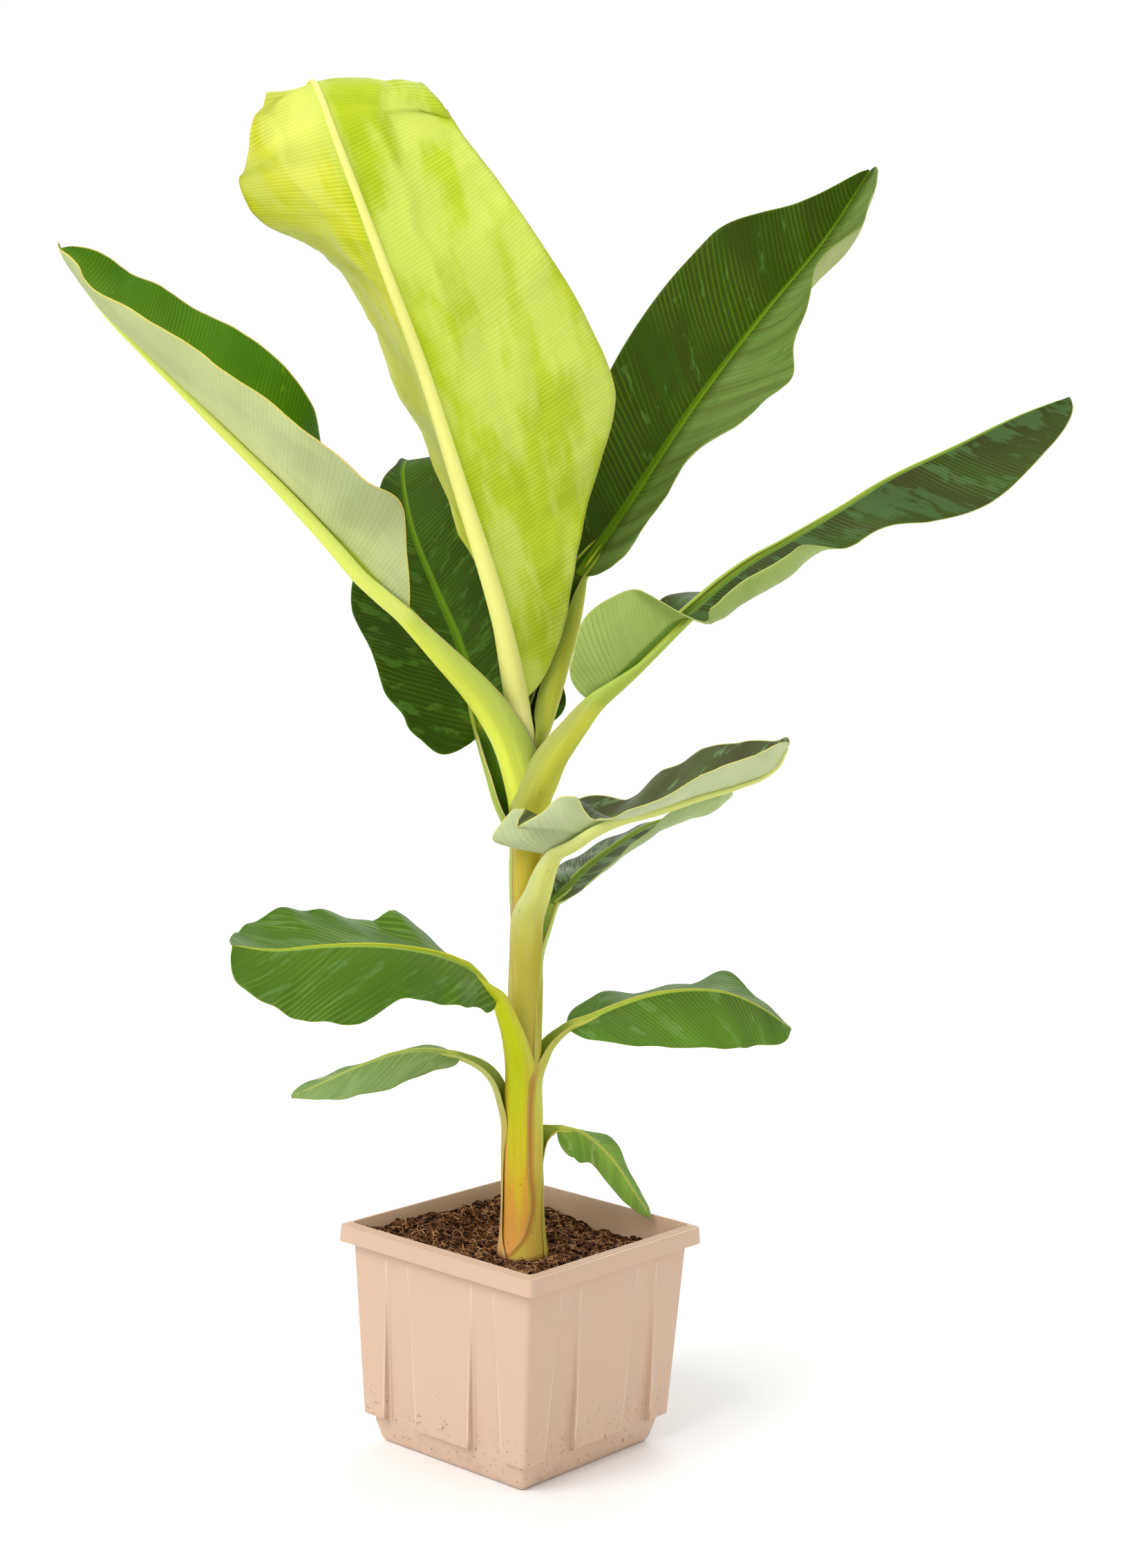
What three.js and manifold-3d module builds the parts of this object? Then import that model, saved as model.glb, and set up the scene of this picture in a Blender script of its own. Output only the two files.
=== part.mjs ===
// A young banana plant in a square plastic nursery pot, in millimetres, +Z up.
// The origin is the centre of the pot's flat underside, and the pot's faces look along X and Y.
// Eleven leaves stand on one upright stem. The plant has a frame of its own, turned about +Z,
// in which the lowest leaves point about sideways (X) and the broad top leaf bends back over -X.
import * as THREE from "three";
import { mergeVertices } from "three/addons/utils/BufferGeometryUtils.js";
import Module from "manifold-3d";

const wasm = await Module();
wasm.setup();

// Driving dimensions, mm and degrees.
const GAP = 0.3; // clearance between pieces that touch
const PLANT_TURN = 41.74; // how far the plant's own frame is turned about +Z in the pot

const POT_HEIGHT = 232; // to the top of the rim's inner lip
const RIM_HALF = 132; // half of the pot's width over its rim
const SKIRT_HALF = 133; // half of the width at the bottom of the rim's skirt
const SKIRT_BOTTOM = 212;
const RIM_STEP_HALVES = [128.8, 126]; // where the rim's top steps up towards its inner lip
const RIM_STEP = 1.2; // height of one step
const MOUTH_HALF = 123.2;
const MOUTH_CORNER = 7; // corner radius of the mouth
const MOUTH_BOTTOM = 200; // where the mouth has narrowed to the inside of the wall
const WALL_TOP_HALF = 122.4; // half of the width of the wall where it meets the skirt
const WALL_FOOT_HALF = 104; // and just above the rounded foot
const FOOT_HEIGHT = 22;
const BASE_HALF = 95.8; // half of the width of the flat underside
const WALL = 2.2;
const FLOOR = 3;
const CORNER_TOP = 5; // corner radius at the rim
const CORNER_BASE = 4.6;
const PANEL_RELIEF = 7.6; // how far the raised panels stand out at their lower end
const PANEL_BOTTOM = 30;
const CORNER_PANEL_EDGE = [81.5, 74]; // inner edge of a corner panel, at its foot and at its top
const MIDDLE_PANEL_EDGE = [36.5, 44]; // half width of the middle panel, likewise
const PANEL_CHAMFER = 1.2;

const SOIL_LEVEL = 199.2; // where the stem stands
const SOIL_BANK = { rise: 4, sides: 12, slant: 3 }; // how far it is banked up near the walls
const SOIL_SIDE_TOP = 196; // level at which its outline is taken
const SOIL_LUMP = 2.6;
const SOIL_FLAT = 33; // radius of the level patch under the stem

const STEM_SIDES = 16;
const STEM_LINE = [[2, 0, 199.5], [0, 0, 282], [-3, 0, 427], [-3, 0, 570], [-5, 0, 700], [-10, -4, 752]];
const STEM_RADIUS = [[199.5, 27.5], [215, 24.5], [250, 22], [350, 21.5], [375, 18], [430, 17], [520, 17],
  [570, 18.5], [640, 18.5], [690, 17], [725, 14], [752, 11]]; // height, radius
const STEM_STEPS = 16;

const LONG_LEAF = { from: 400, steps: 20, columns: 4 }; // stations along it and columns in each half
const SMALL_LEAF = { steps: 13, columns: 3 };
const LEAF_LEAST = 3; // half width at the very base and tip of a blade
const LEAF_SLENDER = 0.0105; // thickness over length
const LEAF_THIN = 2.2; // least thickness
const STALK_COLUMNS = 4;
const STALK_STEPS = 10;
const SHEATH_REACH = 36; // degrees to each side
const SHEATH_GAP = 0.9; // from the stem to the corners of a sheath's inner side, whose flats lie closer

// One entry per leaf, from the top of the plant to its foot, in the plant's frame. rib is the line
// of the midrib on the blade's upper side, and face is the way that side looks, from base to tip.
// Each half has its width, its lift out of the face plane and its curl, in degrees, at places from
// 0 at the base to 1 at the tip. sweep slants the side veins towards the tip. sheath holds the
// direction, start and end of the stretch of stalk that clasps the stem, and stalk the free stretch.
const LEAVES = [
  {
    rib: [[-22, -12, 770], [-42, -34, 860], [-78, -72, 980], [-115, -112, 1096], [-152, -148, 1190],
      [-202, -168, 1312], [-222, -125, 1354], [-240, -75, 1320]],
    face: [[0, 1, 0], [0, 1, 0], [0, 1, 0.1], [0, 1, 0], [-0.1, 0.8, -0.6], [-0.2, 0.2, -1]],
    base: 0.3, tip: 0.12,
    sweep: [[0, -0.05], [0.3, 0.1], [0.6, 0.15], [0.85, -0.1], [1, 0]],
    left: {
      width: [[0, 85], [0.15, 105], [0.25, 142], [0.35, 174], [0.45, 164], [0.55, 146], [0.65, 130],
        [0.75, 120], [0.85, 126], [0.93, 108], [1, 110]],
      lift: [[0, 30], [0.3, 15], [0.6, 5], [0.85, 3], [0.93, -14], [1, -14]],
      curl: [[0, 0], [0.5, 0], [0.85, 10], [0.93, 26], [1, 26]],
    },
    right: {
      width: [[0, 50], [0.2, 90], [0.45, 148], [0.65, 130], [0.8, 100], [0.87, 74], [0.93, 56], [1, 45]],
      lift: [[0, 85], [0.25, 79], [0.45, 73], [0.6, 68], [0.72, 50], [0.85, 35], [1, 15]],
      curl: [[0, 0], [0.6, 0], [0.8, -10], [1, 20]],
      sweep: [[0, -0.05], [0.3, 0.1], [0.6, 0.15], [0.77, 0.1], [0.87, -0.3], [0.93, -0.35], [1, -0.1]],
    },
    stalk: [[-10, -4, 752.4], [-15, -7.5, 760]],
    rise: [0.1, 1, 0.2], depth: 9, channel: 11, opening: 60,
  },
  {
    rib: [[-130, -45, 853], [-180, -55, 911], [-240, -60, 973], [-306, -58, 1034], [-372, -48, 1094],
      [-430, -30, 1148], [-477, 0, 1206]],
    face: [[0.6, 0, 1], [0.6, 0, 1], [0.5, 0, 1]],
    base: 0.12, tip: 0.3,
    sweep: [[0, -0.2], [0.3, 0.1], [1, 0.4]],
    left: {
      width: [[0, 20], [0.1, 45], [0.2, 85], [0.3, 92], [0.5, 90], [0.8, 70], [1, 50]],
      lift: [[0, 50], [0.15, 52], [0.25, 25], [0.45, 13], [0.65, 2], [0.8, -9], [1, -5]],
      curl: [[0, 30], [0.3, 40], [1, 50]],
    },
    right: {
      width: [[0, 50], [0.3, 95], [0.6, 98], [1, 70]],
      lift: [[0, 30], [0.3, 20], [0.4, 45], [0.52, 50], [0.65, 34], [0.8, 24], [1, 14]],
      curl: [[0, 0], [1, 20]],
    },
    sheath: [200, 615, 668],
    stalk: [[-35, -8, 697], [-57, -18, 736], [-78, -28, 775], [-106, -38, 819]],
    rise: [0.6, 0, 1], depth: 8, channel: 9, opening: 60,
  },
  {
    rib: [[42, 52, 896], [88, 80, 965], [155, 112, 1070], [224, 140, 1165], [288, 160, 1246],
      [336, 172, 1322]],
    face: [[-0.1, -1, 0.25], [-0.1, -1, 0.3], [-0.1, -1, 0.3]],
    base: 0.1, tip: 0.35,
    sweep: [[0, -0.1], [0.3, 0.1], [1, 0.4]],
    left: {
      width: [[0, 30], [0.15, 60], [0.3, 88], [0.5, 98], [0.65, 94], [0.75, 74], [0.85, 50], [1, 22]],
      lift: 20,
      curl: [[0, 0], [0.5, -10], [1, 0]],
    },
    right: {
      width: [[0, 85], [0.08, 69], [0.2, 74], [0.3, 94], [0.38, 104], [0.47, 104], [0.56, 84],
        [0.66, 100], [0.75, 122], [0.85, 110], [1, 80]],
      lift: [[0, 45], [0.5, 35], [1, 40]],
      curl: [[0, 20], [0.18, 35], [0.26, 45], [0.36, 30], [0.5, 10], [0.58, 30], [0.68, 70],
        [0.8, 60], [1, 60]],
    },
    sheath: [60, 670, 722],
    stalk: [[6, 17, 745], [15, 22, 773], [26, 30, 807], [32, 38, 839], [38, 46, 874]],
    rise: [-0.3, -1, 0.25], depth: 7, channel: 8, opening: 60,
  },
  {
    rib: [[-51, 50, 731], [-79, 105, 816], [-110, 155, 878], [-136, 195, 935], [-150, 245, 992],
      [-146, 295, 1008], [-138, 350, 985]],
    face: [[0.1, -1, 0.25], [0.1, -1, 0.3], [0.1, -1, 0.5], [0, -0.7, 1], [0, 0.2, 1]],
    base: 0.08, tip: 0.3,
    sweep: [[0, -0.4], [0.2, 0], [1, 0.3]],
    left: {
      width: [[0, 80], [0.08, 80], [0.15, 94], [0.35, 98], [0.45, 84], [0.55, 58], [0.65, 34],
        [0.72, 22], [0.8, 8], [1, 8]],
      lift: 15,
      curl: 0,
      sweep: [[0, -0.7], [0.015, -0.6], [0.04, -0.28], [0.08, -0.19], [0.2, 0], [1, 0.3]],
    },
    right: {
      width: [[0, 90], [0.3, 95], [0.7, 80], [1, 60]],
      lift: 15,
      curl: 0,
    },
    sheath: [128, 570, 620],
    stalk: [[-33, 14, 668], [-41, 28, 697]],
    rise: [0.3, -1, 0.2], depth: 8, channel: 9, opening: 60,
  },
  {
    rib: [[62, -42, 773], [115, -50, 833], [190, -54, 905], [247, -56, 942], [294, -56, 972],
      [341, -54, 1003], [406, -46, 1036], [465, -34, 1066], [519, -20, 1088]],
    face: [[-0.1, -1, 0.2], [-0.1, -1, 0.2]],
    base: 0.05, tip: 0.3,
    sweep: [[0, -0.5], [0.2, 0], [1, 0.3]],
    left: {
      width: [[0, 40], [0.2, 60], [0.3, 80], [0.7, 85], [1, 60]],
      lift: [[0, -60], [0.2, -55], [0.3, -86], [1, -88]],
      curl: 0,
    },
    right: {
      width: [[0, 33], [0.06, 50], [0.12, 68], [0.17, 60], [0.22, 44], [0.27, 96], [0.4, 112],
        [0.48, 56], [0.56, 38], [0.65, 56], [0.75, 66], [0.85, 60], [1, 50]],
      lift: [[0, 165], [0.18, 168], [0.245, 20], [0.42, 20], [0.55, 0], [1, 0]],
      curl: [[0, 0], [0.2, 10], [0.26, 110], [0.42, 110], [0.5, 60], [0.58, 10], [0.7, 0], [1, 20]],
    },
    sheath: [-40, 590, 645],
    stalk: [[17, -20, 680], [24, -29, 710], [38, -36, 740]],
    rise: [-0.6, 0.2, 0.8], depth: 8, channel: 9, opening: 60,
  },
  {
    rib: [[26, -42, 620], [48, -70, 648], [81, -105, 670], [119, -135, 684], [156, -160, 700],
      [193, -180, 714], [224, -192, 730], [238, -200, 757]],
    face: [[-0.5, -0.3, 1], [-0.2, -0.2, 1], [-0.2, -0.1, 1], [-0.3, -0.1, 1]],
    base: 0.06, tip: 0.25,
    sweep: [[0, -1.7], [0.15, -0.8], [0.3, 0], [1, 0.3]],
    left: {
      width: [[0, 20], [0.15, 40], [0.5, 62], [1, 45]],
      lift: [[0, 60], [0.15, 38], [0.25, 2], [0.45, 20], [0.7, 32], [0.85, 27], [1, 10]],
      curl: [[0, 10], [1, 5]],
      sweep: [[0, 0], [0.3, 0], [1, 0.3]],
    },
    right: {
      width: [[0, 55], [0.15, 55], [0.5, 62], [1, 45]],
      lift: [[0, 75], [0.14, 75], [0.24, 32], [0.35, 10], [0.55, 3], [0.75, 19], [0.85, 27], [1, 20]],
      curl: 20,
    },
    sheath: [-45, 500, 548],
    stalk: [[18, -24, 575], [20, -31, 595]],
    rise: [-0.5, 0.3, 1], depth: 5.5, channel: 7, opening: 60,
  },
  {
    rib: [[24, 38, 559], [57, 70, 591], [88, 96, 612], [121, 118, 631], [155, 135, 641],
      [185, 148, 647], [213, 158, 662]],
    face: [[-0.3, -0.7, 0.9], [-0.2, -0.7, 1], [-0.2, -0.6, 1]],
    base: 0.1, tip: 0.3,
    sweep: [[0, -0.3], [0.3, 0], [1, 0.3]],
    left: {
      width: [[0, 34], [0.5, 52], [1, 40]],
      lift: [[0, 40], [0.1, 20], [0.25, -30], [0.7, -44], [0.85, -27], [1, -20]],
      curl: 10,
    },
    right: {
      width: [[0, 30], [0.5, 52], [1, 40]],
      lift: [[0, 28], [0.2, 14], [0.8, 13], [1, 30]],
      curl: 20,
    },
    sheath: [43, 470, 512],
    stalk: [[16, 22, 534]],
    rise: [-0.5, -0.6, 0.9], depth: 5, channel: 6.5, opening: 60,
  },
  {
    rib: [[-30, -60, 478], [-52, -82, 510], [-86, -112, 531], [-136, -148, 545], [-190, -172, 548],
      [-240, -190, 546], [-278, -200, 552]],
    face: [[0.3, -0.7, 0.72], [0.1, -0.7, 0.72], [0, -0.7, 0.72]],
    base: 0.06, tip: 0.22,
    sweep: [[0, -0.3], [0.3, 0.2], [0.7, 0.5], [1, 0.3]],
    left: {
      width: [[0, 14], [0.1, 32], [0.25, 60], [0.45, 65], [0.55, 94], [0.7, 85], [0.85, 64], [1, 52]],
      lift: [[0, 10], [1, 5]],
      curl: -10,
    },
    right: {
      width: [[0, 10], [0.2, 34], [0.5, 68], [0.75, 66], [1, 50]],
      lift: [[0, -45], [0.15, -45], [0.3, -28], [0.7, -24], [0.85, -36], [1, -45]],
      curl: 10,
    },
    sheath: [-112, 330, 380],
    stalk: [[-14, -28, 420], [-20, -40, 448]],
    rise: [0.3, 0.5, 0.9], depth: 5.5, channel: 7, opening: 60,
  },
  {
    rib: [[43, 20, 433], [75, 19, 450], [120, 20, 468], [165, 20, 476], [205, 20, 474],
      [240, 20, 460], [273, 20, 438]],
    face: [[-0.2, -0.7, 0.72], [0, -0.7, 0.72], [0.3, -0.7, 0.72]],
    base: 0.08, tip: 0.25,
    sweep: [[0, -0.2], [0.3, 0.1], [1, 0.4]],
    left: {
      width: [[0, 26], [0.15, 40], [0.5, 58], [0.75, 52], [1, 40]],
      lift: [[0, -25], [0.15, -25], [0.3, -50], [0.5, -48], [0.65, -32], [0.8, -44], [1, -44]],
      curl: 0,
    },
    right: {
      width: [[0, 10], [0.15, 38], [0.25, 56], [0.4, 69], [0.55, 72], [0.75, 58], [0.85, 45], [1, 42]],
      lift: 5,
      curl: -10,
    },
    sheath: [16, 318, 360],
    stalk: [[20, 8, 393], [24, 13, 412]],
    rise: [-0.7, -0.5, 0.8], depth: 5, channel: 6.5, opening: 60,
  },
  {
    rib: [[-67, 0, 405], [-95, -2, 411], [-130, -4, 408], [-168, -5, 394], [-205, -5, 376],
      [-238, -5, 360]],
    face: [[0.2, -0.7, 0.72], [0, -0.7, 0.72], [-0.3, -0.7, 0.72]],
    base: 0.12, tip: 0.35,
    sweep: [[0, -0.2], [0.3, 0.1], [1, 0.4]],
    left: {
      width: [[0, 20], [0.15, 28], [0.25, 40], [0.4, 46], [0.6, 39], [0.8, 25], [1, 10]],
      lift: 10,
      curl: 10,
    },
    right: {
      width: [[0, 18], [0.3, 40], [0.6, 36], [1, 16]],
      lift: [[0, -44], [0.45, -54], [0.75, -44], [1, -10]],
      curl: 0,
    },
    sheath: [180, 262, 320],
    stalk: [[-26, 0, 354], [-33, -1, 378], [-46, -1, 394]],
    rise: [0.5, -0.3, 0.9], depth: 4.5, channel: 5.5, opening: 60,
  },
  {
    rib: [[34, 18, 327], [56, 24, 324], [76, 28, 310], [97, 30, 288], [115, 30, 262], [134, 28, 234]],
    face: [[0, -0.7, 0.72], [0.3, -0.8, 0.6], [0.5, -0.8, 0.4]],
    base: 0.1, tip: 0.4,
    sweep: [[0, -0.2], [0.3, 0.1], [1, 0.4]],
    left: {
      width: [[0, 20], [0.25, 34], [0.6, 30], [1, 16]],
      lift: [[0, -70], [0.25, -58], [0.4, -32], [0.7, -46], [1, -30]],
      curl: 0,
    },
    right: {
      width: [[0, 28], [0.1, 36], [0.25, 33], [0.35, 24], [0.5, 24], [0.7, 21], [1, 14]],
      lift: 10,
      curl: 0,
    },
    sheath: [45, 252, 298],
    stalk: [[20, 15, 316]],
    rise: [-0.2, -0.7, 0.9], depth: 4, channel: 5, opening: 60,
  },
];

const radians = THREE.MathUtils.degToRad;
const vector = (list) => new THREE.Vector3(...list);
const curveThrough = (points) => new THREE.CatmullRomCurve3(points.map(vector), false, "catmullrom");
const plantGroup = new THREE.Group();
plantGroup.rotation.z = radians(PLANT_TURN);

// The value at s of stations [place, value], smooth and without overshoot. A plain number is constant.
function valueAt(stations, s) {
  if (!Array.isArray(stations)) return stations;
  const last = stations.length - 1;
  if (s <= stations[0][0]) return stations[0][1];
  if (s >= stations[last][0]) return stations[last][1];
  const slope = (i) => (stations[i + 1][1] - stations[i][1]) / (stations[i + 1][0] - stations[i][0]);
  const tangent = (i) => {
    if (i === 0) return slope(0);
    if (i === last) return slope(last - 1);
    const before = slope(i - 1);
    const after = slope(i);
    return before * after <= 0 ? 0 : (2 * before * after) / (before + after);
  };
  let k = 0;
  while (stations[k + 1][0] < s) k += 1;
  const span = stations[k + 1][0] - stations[k][0];
  const f = (s - stations[k][0]) / span;
  const rise = stations[k + 1][1] - stations[k][1];
  const m0 = tangent(k) * span;
  const m1 = tangent(k + 1) * span;
  return stations[k][1] + m0 * f + (3 * rise - 2 * m0 - m1) * f * f + (m0 + m1 - 2 * rise) * f ** 3;
}

// Where two grids of points, one on each side of a thin body, become one closed mesh.
function slab(upper, lower) {
  const rows = upper.length;
  const columns = upper[0].length;
  const count = rows * columns;
  const positions = [...upper.flat(), ...lower.flat()].flatMap((p) => [p.x, p.y, p.z]);
  const index = [];
  const quad = (a, b, c, d) => index.push(a, b, c, a, c, d);
  for (let i = 0; i + 1 < rows; i += 1) {
    for (let j = 0; j + 1 < columns; j += 1) {
      const a = i * columns + j;
      quad(a, a + 1, a + columns + 1, a + columns);
      quad(count + a, count + a + columns, count + a + columns + 1, count + a + 1);
    }
    const first = i * columns;
    const final = first + columns - 1;
    quad(first, first + columns, count + first + columns, count + first);
    quad(final + columns, final, count + final, count + final + columns);
  }
  for (let j = 0; j + 1 < columns; j += 1) {
    const end = (rows - 1) * columns + j;
    quad(j + 1, j, count + j, count + j + 1);
    quad(end, end + 1, count + end + 1, count + end);
  }
  return closedGeometry(positions, index);
}

// Rings of equal length, joined in turn and closed by a fan about a point at each end.
function loft(rings, start, end) {
  const sides = rings[0].length;
  const positions = [...rings.flat(), start, end].flatMap((p) => [p.x, p.y, p.z]);
  const first = rings.length * sides;
  const index = [];
  for (let j = 0; j < sides; j += 1) {
    const next = (j + 1) % sides;
    for (let i = 0; i + 1 < rings.length; i += 1) {
      const a = i * sides;
      index.push(a + j, a + next, a + sides + next, a + j, a + sides + next, a + sides + j);
    }
    const top = (rings.length - 1) * sides;
    index.push(first, next, j, first + 1, top + j, top + next);
  }
  return closedGeometry(positions, index);
}

// A geometry whose faces look outwards, whichever way round its grid was made.
function closedGeometry(positions, index) {
  const corner = [0, 1, 2].map(() => new THREE.Vector3());
  let volume = 0;
  for (let i = 0; i < index.length; i += 3) {
    corner.forEach((v, k) => v.fromArray(positions, 3 * index[i + k]));
    volume += corner[0].dot(corner[1].clone().cross(corner[2]));
  }
  const faces = volume < 0 ? index.toReversed() : index;
  const geometry = new THREE.BufferGeometry();
  geometry.setAttribute("position", new THREE.Float32BufferAttribute(positions, 3));
  geometry.setIndex(faces);
  return geometry;
}

function solid(geometry) {
  const merged = mergeVertices(geometry, 1e-3);
  return new wasm.Manifold(new wasm.Mesh({
    numProp: 3,
    vertProperties: merged.attributes.position.array,
    triVerts: new Uint32Array(merged.index.array),
  }));
}

function geometryOf(body) {
  const mesh = body.getMesh();
  const geometry = new THREE.BufferGeometry();
  geometry.setAttribute("position", new THREE.BufferAttribute(mesh.vertProperties, 3));
  geometry.setIndex(new THREE.BufferAttribute(mesh.triVerts, 1));
  return geometry;
}

function named(name, geometry, colour, roughness) {
  const material = new THREE.MeshStandardMaterial({ color: colour, roughness, metalness: 0 });
  const mesh = new THREE.Mesh(geometry, material);
  mesh.name = name;
  return mesh;
}

// The outline of the pot at one level: round corners, and panels that stand out by relief.
function potOutline(z, half, radius, relief, inset = 0) {
  const f = THREE.MathUtils.clamp((z - PANEL_BOTTOM) / (SKIRT_BOTTOM - PANEL_BOTTOM), 0, 1);
  const cornerEdge = THREE.MathUtils.lerp(...CORNER_PANEL_EDGE, f);
  const middleEdge = THREE.MathUtils.lerp(...MIDDLE_PANEL_EDGE, f);
  const body = half - inset;
  const out = body + relief;
  const r = Math.max(radius - inset, 1);
  const points = [];
  for (let side = 0; side < 4; side += 1) {
    const turn = (side * Math.PI) / 2;
    const add = (along, depth) => points.push(new THREE.Vector3(
      depth * Math.cos(turn) - along * Math.sin(turn),
      depth * Math.sin(turn) + along * Math.cos(turn),
      z,
    ));
    add(-cornerEdge, out);
    add(-cornerEdge + PANEL_CHAMFER, body);
    add(-middleEdge - PANEL_CHAMFER, body);
    add(-middleEdge, out);
    add(middleEdge, out);
    add(middleEdge + PANEL_CHAMFER, body);
    add(cornerEdge - PANEL_CHAMFER, body);
    add(cornerEdge, out);
    for (let k = 0; k <= 4; k += 1) {
      const angle = (k * Math.PI) / 8;
      add(out - r + r * Math.sin(angle), out - r + r * Math.cos(angle));
    }
  }
  return points;
}

const wallHalf = (z) => THREE.MathUtils.mapLinear(z, FOOT_HEIGHT, SKIRT_BOTTOM, WALL_FOOT_HALF, WALL_TOP_HALF);
const cornerRadius = (z) => THREE.MathUtils.mapLinear(z, 0, POT_HEIGHT, CORNER_BASE, CORNER_TOP);

// The inside of the pot at one level, or the soil's side when inset is the clearance.
function insideOutline(z, inset) {
  const mouth = THREE.MathUtils.clamp((z - MOUTH_BOTTOM) / (POT_HEIGHT - 1 - MOUTH_BOTTOM), 0, 1);
  const wall = wallHalf(THREE.MathUtils.clamp(z, FOOT_HEIGHT, MOUTH_BOTTOM)) - WALL;
  const half = THREE.MathUtils.lerp(wall, MOUTH_HALF, mouth);
  const foot = z < FOOT_HEIGHT ? (FOOT_HEIGHT - z) * 0.25 : 0;
  const radius = THREE.MathUtils.lerp(cornerRadius(z) - WALL, MOUTH_CORNER, mouth);
  return potOutline(z, half - foot, radius, 0, inset);
}

function potGeometry() {
  const ring = (z, half, relief = 0) => potOutline(z, half, cornerRadius(z), relief);
  const [firstStep, secondStep] = RIM_STEP_HALVES;
  const rings = [
    ring(0, BASE_HALF),
    ring(1.6, BASE_HALF + 1.8),
    ring(9, BASE_HALF + 4.8),
    ring(FOOT_HEIGHT, WALL_FOOT_HALF),
    ring(PANEL_BOTTOM - 3, wallHalf(PANEL_BOTTOM - 3)),
    ring(PANEL_BOTTOM, wallHalf(PANEL_BOTTOM), PANEL_RELIEF),
    ring(SKIRT_BOTTOM - 4, wallHalf(SKIRT_BOTTOM - 4)),
    ring(SKIRT_BOTTOM, WALL_TOP_HALF),
    ring(SKIRT_BOTTOM, SKIRT_HALF),
    ring(POT_HEIGHT - 2 * RIM_STEP - 1, RIM_HALF),
    ring(POT_HEIGHT - 2 * RIM_STEP, RIM_HALF - 1),
    ring(POT_HEIGHT - 2 * RIM_STEP, firstStep),
    ring(POT_HEIGHT - RIM_STEP, firstStep - 0.6),
    ring(POT_HEIGHT - RIM_STEP, secondStep),
    ring(POT_HEIGHT, secondStep - 0.6),
    ring(POT_HEIGHT, MOUTH_HALF + 0.8),
    insideOutline(POT_HEIGHT - 1, 0),
    insideOutline(MOUTH_BOTTOM, 0),
    insideOutline(FOOT_HEIGHT, 0),
    insideOutline(FLOOR, 0),
  ];
  return loft(rings, new THREE.Vector3(0, 0, 0), new THREE.Vector3(0, 0, FLOOR));
}

// The level of the soil: flat under the stem, lumpy beyond it and banked up near the walls.
function soilLevel(x, y) {
  const reach = Math.hypot(x, y);
  const away = THREE.MathUtils.smoothstep(reach, SOIL_FLAT, SOIL_FLAT + 25);
  const lump = Math.sin(x * 0.071 + 1.3) * Math.sin(y * 0.083 + 0.4) + 0.5 * Math.sin(x * 0.19 - y * 0.14);
  const side = x / WALL_TOP_HALF;
  const bank = SOIL_BANK.rise + SOIL_BANK.sides * side * side - SOIL_BANK.slant * side;
  return SOIL_LEVEL + bank * THREE.MathUtils.smoothstep(reach, SOIL_FLAT, 115) + away * SOIL_LUMP * lump;
}

function soilGeometry() {
  const rings = [insideOutline(FLOOR + GAP, GAP), insideOutline(FOOT_HEIGHT, GAP)];
  const edge = insideOutline(SOIL_SIDE_TOP, GAP);
  [1, 0.9, 0.75, 0.58, 0.42, 0.29, 0.2].forEach((share) => {
    rings.push(edge.map((p) => {
      const x = p.x * share;
      const y = p.y * share;
      return new THREE.Vector3(x, y, soilLevel(x, y));
    }));
  });
  return loft(rings, new THREE.Vector3(0, 0, FLOOR + GAP), new THREE.Vector3(0, 0, SOIL_LEVEL));
}

const stemCurve = curveThrough(STEM_LINE);
const stemHeights = STEM_LINE.map((p) => p[2]);
const stemFoot = stemHeights[0];
const stemTop = stemHeights[stemHeights.length - 1];

// The point of the stem's centre line at a height.
function stemCentre(z) {
  const at = (k) => STEM_LINE.map((p) => [p[2], p[k]]);
  return new THREE.Vector3(valueAt(at(0), z), valueAt(at(1), z), z);
}

function stemGeometry(grow) {
  const rings = [];
  for (let i = 0; i <= STEM_STEPS; i += 1) {
    const z = THREE.MathUtils.lerp(stemFoot, stemTop, i / STEM_STEPS);
    const centre = stemCentre(z);
    const radius = valueAt(STEM_RADIUS, z) + grow;
    rings.push(Array.from({ length: STEM_SIDES }, (_, k) => {
      const angle = (2 * Math.PI * k) / STEM_SIDES;
      return new THREE.Vector3(centre.x + radius * Math.cos(angle), centre.y + radius * Math.sin(angle), z);
    }));
  }
  if (grow > 0) {
    rings[rings.length - 1].forEach((p) => { p.z += grow; });
  }
  return loft(rings, stemCentre(stemFoot), stemCentre(stemTop).setZ(stemTop + grow));
}

// The blade's own directions at s: along the rib, off its upper side and across it.
function bladeFrame(curve, faces, s) {
  const along = curve.getTangentAt(s);
  const off = faces.getPoint(s);
  off.addScaledVector(along, -off.dot(along)).normalize();
  return { along, off, across: along.clone().cross(off) };
}

const rounded = (x) => Math.sqrt(1 - (1 - THREE.MathUtils.clamp(x, 0, 1)) ** 2);

function bladePoint(leaf, curve, faces, s, t) {
  const half = t < 0 ? leaf.left : leaf.right;
  const side = t < 0 ? -1 : 1;
  const reach = Math.abs(t);
  const { along, off, across } = bladeFrame(curve, faces, s);
  const ends = rounded(s / leaf.base) * rounded((1 - s) / leaf.tip);
  const width = Math.max(valueAt(half.width, s) * ends, LEAF_LEAST);
  const lift = radians(valueAt(half.lift, s));
  const curl = radians(valueAt(half.curl, s)) || 1e-4;
  return curve.getPointAt(s)
    .addScaledVector(across, (side * width * (Math.sin(lift + curl * reach) - Math.sin(lift))) / curl)
    .addScaledVector(off, (width * (Math.cos(lift) - Math.cos(lift + curl * reach))) / curl)
    .addScaledVector(along, valueAt(half.sweep ?? leaf.sweep, s) * (width - LEAF_LEAST) * reach ** 1.5);
}

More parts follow.
